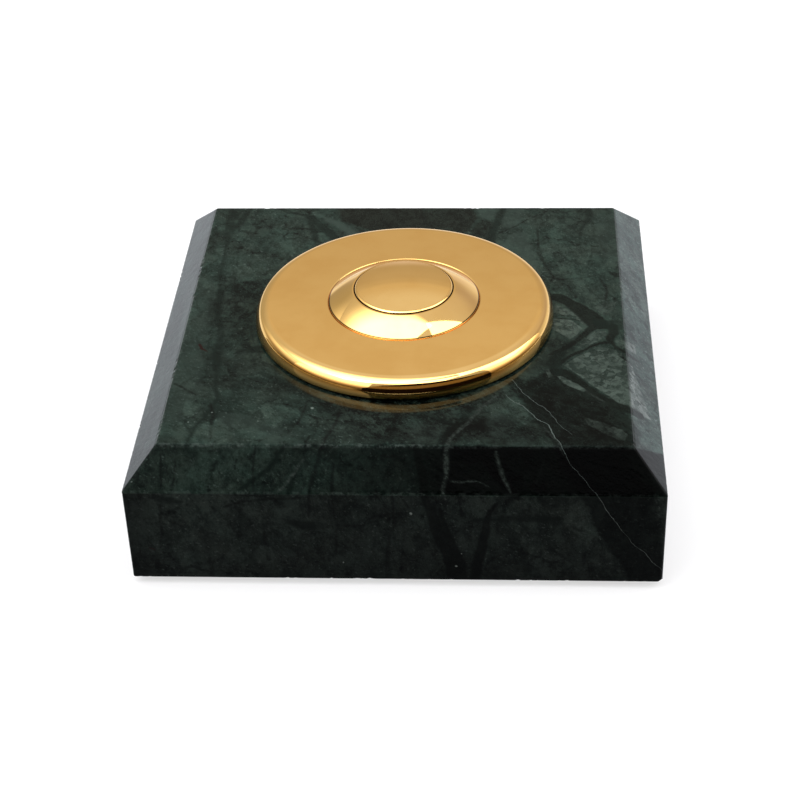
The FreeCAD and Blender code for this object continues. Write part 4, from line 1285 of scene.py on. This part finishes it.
def grained(name, light, dark, size_mm, relief_mm, roughness, stretch=(1, 1, 1), **shader_values):
    """Material of two near colours in grains of a size, whose relief and roughness go with them."""
    material, tree, shader = new_material(name, **shader_values)
    stretched = add(tree, "VectorMath", place(tree), stretch, operation="MULTIPLY")
    grains = add(tree, "noise", stretched, 1 / size_mm, 4.0, 0.6)
    clouds = add(tree, "noise", stretched, 1 / (size_mm * 14), 2.0, 0.5)
    both = add(tree, "MULTIPLY_ADD", clouds, 0.6, add(tree, "MULTIPLY", grains, 0.4))
    share = add(tree, "slope", both, 0.35, 0.65)
    feed(
        shader, Base_Color=add(tree, "mix", share, linear(dark), linear(light)),
        Roughness=add(tree, "slope", both, 0.35, 0.65, *roughness),
        Normal=add(tree, "Bump", Strength=1.0, Distance=relief_mm * MM, Height=grains),
    )
    return material


# %% Moulded, pressed and plated finishes
finishes = {
    # Nitrile rubber, compression moulded: dull black with a faint bloom.
    "rubber": grained("moulded_nitrile_rubber", "#242423", "#171717", 0.35, 0.02, (0.60, 0.78)),
    # Neoprene sheet, die cut: duller and blacker, with fine pores.
    "gasket": grained("neoprene_sheet", "#191919", "#0E0E0E", 0.22, 0.03, (0.78, 0.92)),
    # Vulcanised fibre, stamped: brick red with fine fibres in the plane of the sheet.
    "fibre": grained("vulcanised_red_fibre", "#8A3524", "#6A2318", 0.30, 0.015, (0.48, 0.62), (1, 0.25, 3)),
    # Phenolic, pressed hot: dark brown with cloudy flow marks and a fair gloss.
    "phenolic": grained("pressed_phenolic", "#3A2519", "#22150F", 0.8, 0.004, (0.22, 0.34)),
    # Acetal, injection moulded: waxy off-white, a little translucent.
    "acetal": grained(
        "moulded_acetal", "#E2DFD6", "#D3CFC4", 0.5, 0.003, (0.30, 0.40),
        Subsurface_Weight=0.15, Subsurface_Scale=0.001,
    ),
    # ABS, injection moulded in a spark-eroded tool: charcoal with an even fine grain.
    "cover_plastic": grained("spark_grained_abs", "#2B2B2D", "#202022", 0.28, 0.03, (0.45, 0.60)),
    # Spring steel, drawn and oil tempered: grey-brown with lines along the wire.
    "spring_steel": grained(
        "tempered_spring_steel", "#9A9590", "#6E6A68", 0.18, 0.003, (0.24, 0.38), Metallic=1.0
    ),
    # Steel with a zinc plating and clear passivation: bright, faintly blue and cloudy.
    "zinc_steel": grained("zinc_plated_steel", "#D2D6DB", "#B4BAC2", 0.6, 0.002, (0.20, 0.34), Metallic=1.0),
    # Free-cutting brass, left as turned: satin with fine tool marks round the axis.
    "contact_brass": grained(
        "turned_free_cutting_brass", "#E8C37C", "#CFA45A", 0.16, 0.003, (0.22, 0.34), (1, 1, 3), Metallic=1.0
    ),
}
slot_of = {part["node"]: part["material_slot"] for part in frame["record"]["subparts"]}
print("finishes:", len(finishes))

# %% [markdown]
# ## Parts that keep their CAD shape
# The hidden rigid parts have the right shape already. What a CAD solid lacks is the tenth of a millimetre
# that deburring or a mould takes off each edge, so a welded copy gets a fine bevel on its sharp edges only.

# %% Soften the edges of CAD parts


def dress(piece, nodes, body="base"):
    """Give a piece its finish and its body, and let it stand for CAD nodes."""
    smooth_but_sharp(piece)
    piece.data.materials.append(finishes[slot_of[nodes[0]]])
    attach(piece, body)
    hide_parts(*nodes)


def soften(node, width_mm, body="base"):
    """Dress a copy of a CAD node whose sharp edges are bevelled."""
    mesh = bmesh.new()
    mesh.from_mesh(nodes_of_cad[node].data)
    bmesh.ops.remove_doubles(mesh, verts=mesh.verts, dist=1e-6)
    welded = bpy.data.meshes.new(node + "_softened")
    mesh.to_mesh(welded)
    mesh.free()
    piece = new_piece(node + "_softened", welded)
    edges = piece.modifiers.new("deburr", "BEVEL")
    edges.width, edges.segments, edges.limit_method = width_mm * MM, 2, "ANGLE"
    edges.angle_limit = math.radians(40)
    piece.data = plain_copy(piece)
    dress(piece, [node], body)
    print(piece.name, "faces:", len(piece.data.polygons))


for node, width in (
    ("base_cover", 0.20), ("cable_clamp", 0.20), ("barrel_nut", 0.10), ("contact_block", 0.12),
    ("contact_stud_left", 0.08), ("contact_stud_right", 0.08), ("retaining_ring", 0.08),
):
    soften(node, width)
for node, width in (("plunger", 0.12), ("contact_bridge", 0.08), ("bridge_clip", 0.06)):
    soften(node, width, "button")

# %% [markdown]
# ## Feet, screws and inserts
# Feet, screws, washers and inserts repeat. Each is turned once on the lathe, and a Geometry Nodes tree puts
# copies on the places that the CAD model gives. A screw's thread is drawn as rings, not as a helix, and the
# slots for the driver are cut across its head.

# %% Copies on places
copies, given = new_tree("copies_on_places", [
    ("Part", "NodeSocketObject", None), ("Turn", "NodeSocketFloat", 0.0),
    ("Material", "NodeSocketMaterial", None),
])
part = add(copies, "GeometryNodeObjectInfo", given["Part"], out="Geometry")
turn_of_copy = add(copies, "MULTIPLY", add(copies, "GeometryNodeInputIndex"), given["Turn"])
spin = add(copies, "FunctionNodeEulerToRotation", add(copies, "CombineXYZ", Z=turn_of_copy))
placed = add(copies, "GeometryNodeInstanceOnPoints", Points=given["Geometry"], Instance=part, Rotation=spin)
real = add(copies, "GeometryNodeRealizeInstances", placed)
add(copies, "NodeGroupOutput", add(copies, "GeometryNodeSetMaterial", real, Material=given["Material"]))


def repeat(name, part, places, nodes, turn=0.0):
    """Copies of a part at (x, y) places in millimetres, which stand for CAD nodes."""
    mesh = bpy.data.meshes.new(name)
    mesh.from_pydata([(x * MM, y * MM, 0.0) for x, y in places], [], [])
    finish = finishes[slot_of[nodes[0]]]
    piece = grow(name, copies, mesh, {"Part": part, "Turn": turn, "Material": finish})
    bpy.data.objects.remove(part)
    dress(piece, nodes)
    print(name, "copies:", len(places), "faces:", len(piece.data.polygons))


# %% Threads and slots


def thread(radius, start, end, pitch, depth):
    """Profile points of a screw thread from one height to another."""
    turns = max(1, int(abs(end - start) / pitch))
    step = (end - start) / turns
    points = []
    for i in range(turns):
        points += [(radius, start + (i + 0.15) * step), (radius - depth, start + (i + 0.5) * step),
                   (radius, start + (i + 0.85) * step)]
    return points


def cut_slots(screw, half_length, low, high, turns=(0,)):
    """Cut slots across a screw's head between two heights, each turned by an angle in degrees."""
    slot_width = 0.6
    boxes = bmesh.new()
    size, middle = Vector((2 * half_length, slot_width, high - low)), Vector((0, 0, (low + high) / 2))
    for turn in turns:
        matrix = Matrix.Rotation(math.radians(turn), 4, "Z") @ Matrix.Translation(middle * MM)
        bmesh.ops.create_cube(boxes, size=1.0, matrix=matrix @ Matrix.Diagonal((size * MM).to_4d()))
    mesh = bpy.data.meshes.new("slot_cutter")
    boxes.to_mesh(mesh)
    boxes.free()
    cut(screw, new_piece("slot_cutter", mesh), crossed=True)


print("points of a 3 mm thread:", len(thread(1.2, 0.0, 3.0, 0.45, 0.16)))

# %% Feet
foot_out = 40.0
foot = turn_on_lathe("foot", eased([
    (0, 0.30), (2.6, 0.30, 0.15), (3.0, 0.0, 0.15), (6.0, 0.0, 0.40), (6.0, 1.5, 0.06), (0, 1.5),
], closed=False), finishes["rubber"], closed=False, steps=96)
corners = [(-foot_out, -foot_out), (foot_out, -foot_out), (-foot_out, foot_out), (foot_out, foot_out)]
feet = ["foot_front_left", "foot_front_right", "foot_rear_left", "foot_rear_right"]
repeat("rubber_feet", foot, corners, feet)

# %% Cover screws and their inserts
screw = turn_on_lathe("cover_screw", [(0, 1.62)] + eased([
    (0, 1.62), (1.6, 1.58), (2.35, 1.52, 0.05), (1.2, 2.8), (1.2, 3.2),
], closed=False)[1:] + thread(1.2, 3.2, 7.6, 0.45, 0.16) + [(0.8, 8.0), (0, 8.0)],
    finishes["zinc_steel"], closed=False, steps=72)
cut_slots(screw, 1.25, 1.0, 2.25, turns=(0, 90))
cover_places = [(x, y) for x, y, _ in insert_places]
repeat("cover_screws_turned", screw, cover_places, ["cover_screws"], turn=0.7)

insert = turn_on_lathe("insert", [(1.25, 3.35)] + eased([
    (1.25, 3.3, 0.12), (2.25, 3.3, 0.12), (2.25, 5.0, 0.05), (2.05, 5.2), (2.05, 5.6), (2.25, 5.8, 0.05),
    (2.25, 7.2, 0.05), (2.05, 7.4), (2.05, 7.8), (2.25, 8.0, 0.05), (2.25, 9.3, 0.12), (1.25, 9.3, 0.12),
], closed=False)[1:], finishes["contact_brass"], steps=64)
repeat("cover_inserts_turned", insert, cover_places, ["cover_inserts"])

# %% Clamp screws
clamp_screw = turn_on_lathe("clamp_screw", [
    (0, 4.7), (0.35, 4.7),
] + thread(1.0, 5.3, 12.4, 0.7, 0.22) + eased([
    (1.0, 12.4), (1.0, 13.2), (1.9, 13.2, 0.08), (1.9, 13.7), (1.5, 14.3, 0.5), (0.6, 14.5), (0, 14.5),
], closed=False), finishes["zinc_steel"], closed=False, steps=72)
cut_slots(clamp_screw, 2.2, 13.8, 15.0)
repeat("clamp_screws_turned", clamp_screw, [(-7.5, 20.05), (7.5, 20.05)], ["cable_clamp_screws"], turn=0.9)

# %% Terminal screws and washers
terminals = [(-5.0, 0), (5.0, 0)]
terminal_screw = turn_on_lathe("terminal_screw", eased([
    (0, 9.7), (1.9, 9.7, 0.3), (2.4, 10.2, 0.2), (2.4, 11.5, 0.08), (1.2, 11.5), (1.2, 11.9),
], closed=False) + thread(1.2, 11.9, 16.2, 0.45, 0.16) + [(0.8, 16.5), (0, 16.5)],
    finishes["zinc_steel"], closed=False, steps=72)
cut_slots(terminal_screw, 2.6, 9.0, 10.4)
repeat("terminal_screws_turned", terminal_screw, terminals, ["terminal_screws"], turn=0.5)

washer = turn_on_lathe("washer", eased([
    (1.25, 11.5, 0.06), (2.4, 11.5, 0.10), (2.4, 12.0, 0.10), (1.25, 12.0, 0.06),
]), finishes["contact_brass"], steps=64)
repeat("terminal_washers_turned", washer, terminals, ["terminal_washers"])

# %% [markdown]
# ## Gasket, washers, grommet and spring
# The gasket and the fibre washer are plain rings with cut edges. The grommet is turned on the same lathe and
# laid back to look out of the rear face. The return spring follows a rule, so a tree winds it: level at both
# ends and a steady climb between, with the wire's section swept along it.

# %% Rings and grommet
# Name, node, bore and outer radius, underside and top, and the breaks at the bore and outside.
for name, node, bore_radius, radius, low, high, inner_break, outer_break in (
    ("neoprene_gasket", "rose_gasket", 12.8, 29.25, 28.5, 29.0, 0.05, 0.08),
    ("fibre_washer", "barrel_washer", 12.55, 18.0, 19.0, 20.5, 0.10, 0.15),
):
    ring = turn_on_lathe(name, eased([
        (bore_radius, low, inner_break), (radius, low, outer_break), (radius, high, outer_break),
        (bore_radius, high, inner_break),
    ]), finishes[slot_of[node]], steps=220)
    dress(ring, [node])

grommet = lay_back(turn_on_lathe("grommet", eased([
    (2.1, 38.5, 0.25), (3.9, 38.5, 0.35), (3.9, 48.5),
    (5.5, 48.5, 0.15), (5.5, 50.0, 0.45), (2.1, 50.0, 0.60),
]), finishes["rubber"], steps=96), cable_height)
dress(grommet, ["cable_grommet"])
soften("lock_washer", 0.06)

# %% The spring winder
SPRING_POINTS, SECTION_POINTS = 281, 14
winder, given = new_tree("spring_winder", [
    *[(name, "NodeSocketFloat", 0.0) for name in ("Turns", "Radius", "Wire", "Bottom", "Top", "Ease")],
    ("Material", "NodeSocketMaterial", None),
])
straight = add(winder, "GeometryNodeCurvePrimitiveLine")
points = add(winder, "GeometryNodeResampleCurve", Curve=straight, Count=SPRING_POINTS)
turn_now = add(winder, "MULTIPLY", add(winder, "GeometryNodeSplineParameter", out="Factor"), given["Turns"])
# The climb eases in at the bottom and out at the top, as the square of the way into each end.
start_gap = add(winder, "MAXIMUM", add(winder, "SUBTRACT", given["Ease"], turn_now), 0.0)
climbing = add(winder, "SUBTRACT", given["Turns"], given["Ease"])
end_gap = add(winder, "MAXIMUM", add(winder, "SUBTRACT", turn_now, climbing), 0.0)
start_square, end_square = [add(winder, "MULTIPLY", gap, gap) for gap in (start_gap, end_gap)]
bend = add(winder, "SUBTRACT", start_square, end_square)
bend = add(winder, "DIVIDE", bend, add(winder, "MULTIPLY", given["Ease"], 2.0))
climbed = add(winder, "SUBTRACT", turn_now, add(winder, "MULTIPLY", given["Ease"], 0.5))
share_up = add(winder, "DIVIDE", add(winder, "ADD", climbed, bend), climbing)
half_wire = add(winder, "MULTIPLY", given["Wire"], 0.5)
low = add(winder, "ADD", given["Bottom"], half_wire)
rise = add(winder, "SUBTRACT", add(winder, "SUBTRACT", given["Top"], half_wire), low)
level_now = add(winder, "MULTIPLY_ADD", share_up, rise, low)
angle_now = add(winder, "MULTIPLY", turn_now, 2 * math.pi)
across_back = [add(winder, way, angle_now) for way in ("COSINE", "SINE")]
across_back = [add(winder, "MULTIPLY", value, given["Radius"]) for value in across_back]
on_coil = add(winder, "CombineXYZ", *across_back, level_now)
coil = add(winder, "GeometryNodeSetPosition", points, Position=on_coil)
section = add(winder, "GeometryNodeCurvePrimitiveCircle", Resolution=SECTION_POINTS, Radius=half_wire)
wire = add(winder, "GeometryNodeCurveToMesh", Curve=coil, Profile_Curve=section, Fill_Caps=True)
smooth_and_finish(winder, wire, 50, given["Material"])
print("winder nodes:", len(winder.nodes))

# %% The return spring
# The spring is 9.9 mm long at rest, and the button presses it 1.8 mm shorter. Its lower end stands still.
spring_bottom, spring_length = 20.0, 9.9
spring = grow("return_spring_wound", winder, bpy.data.meshes.new("spring"), {
    "Turns": 5.0, "Radius": 7.5 * MM, "Wire": 0.7 * MM, "Bottom": spring_bottom * MM,
    "Top": (spring_bottom + spring_length) * MM, "Ease": 0.5, "Material": finishes["spring_steel"],
})
point_outward(spring)
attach(spring, "base")
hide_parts("return_spring")
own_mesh(spring)
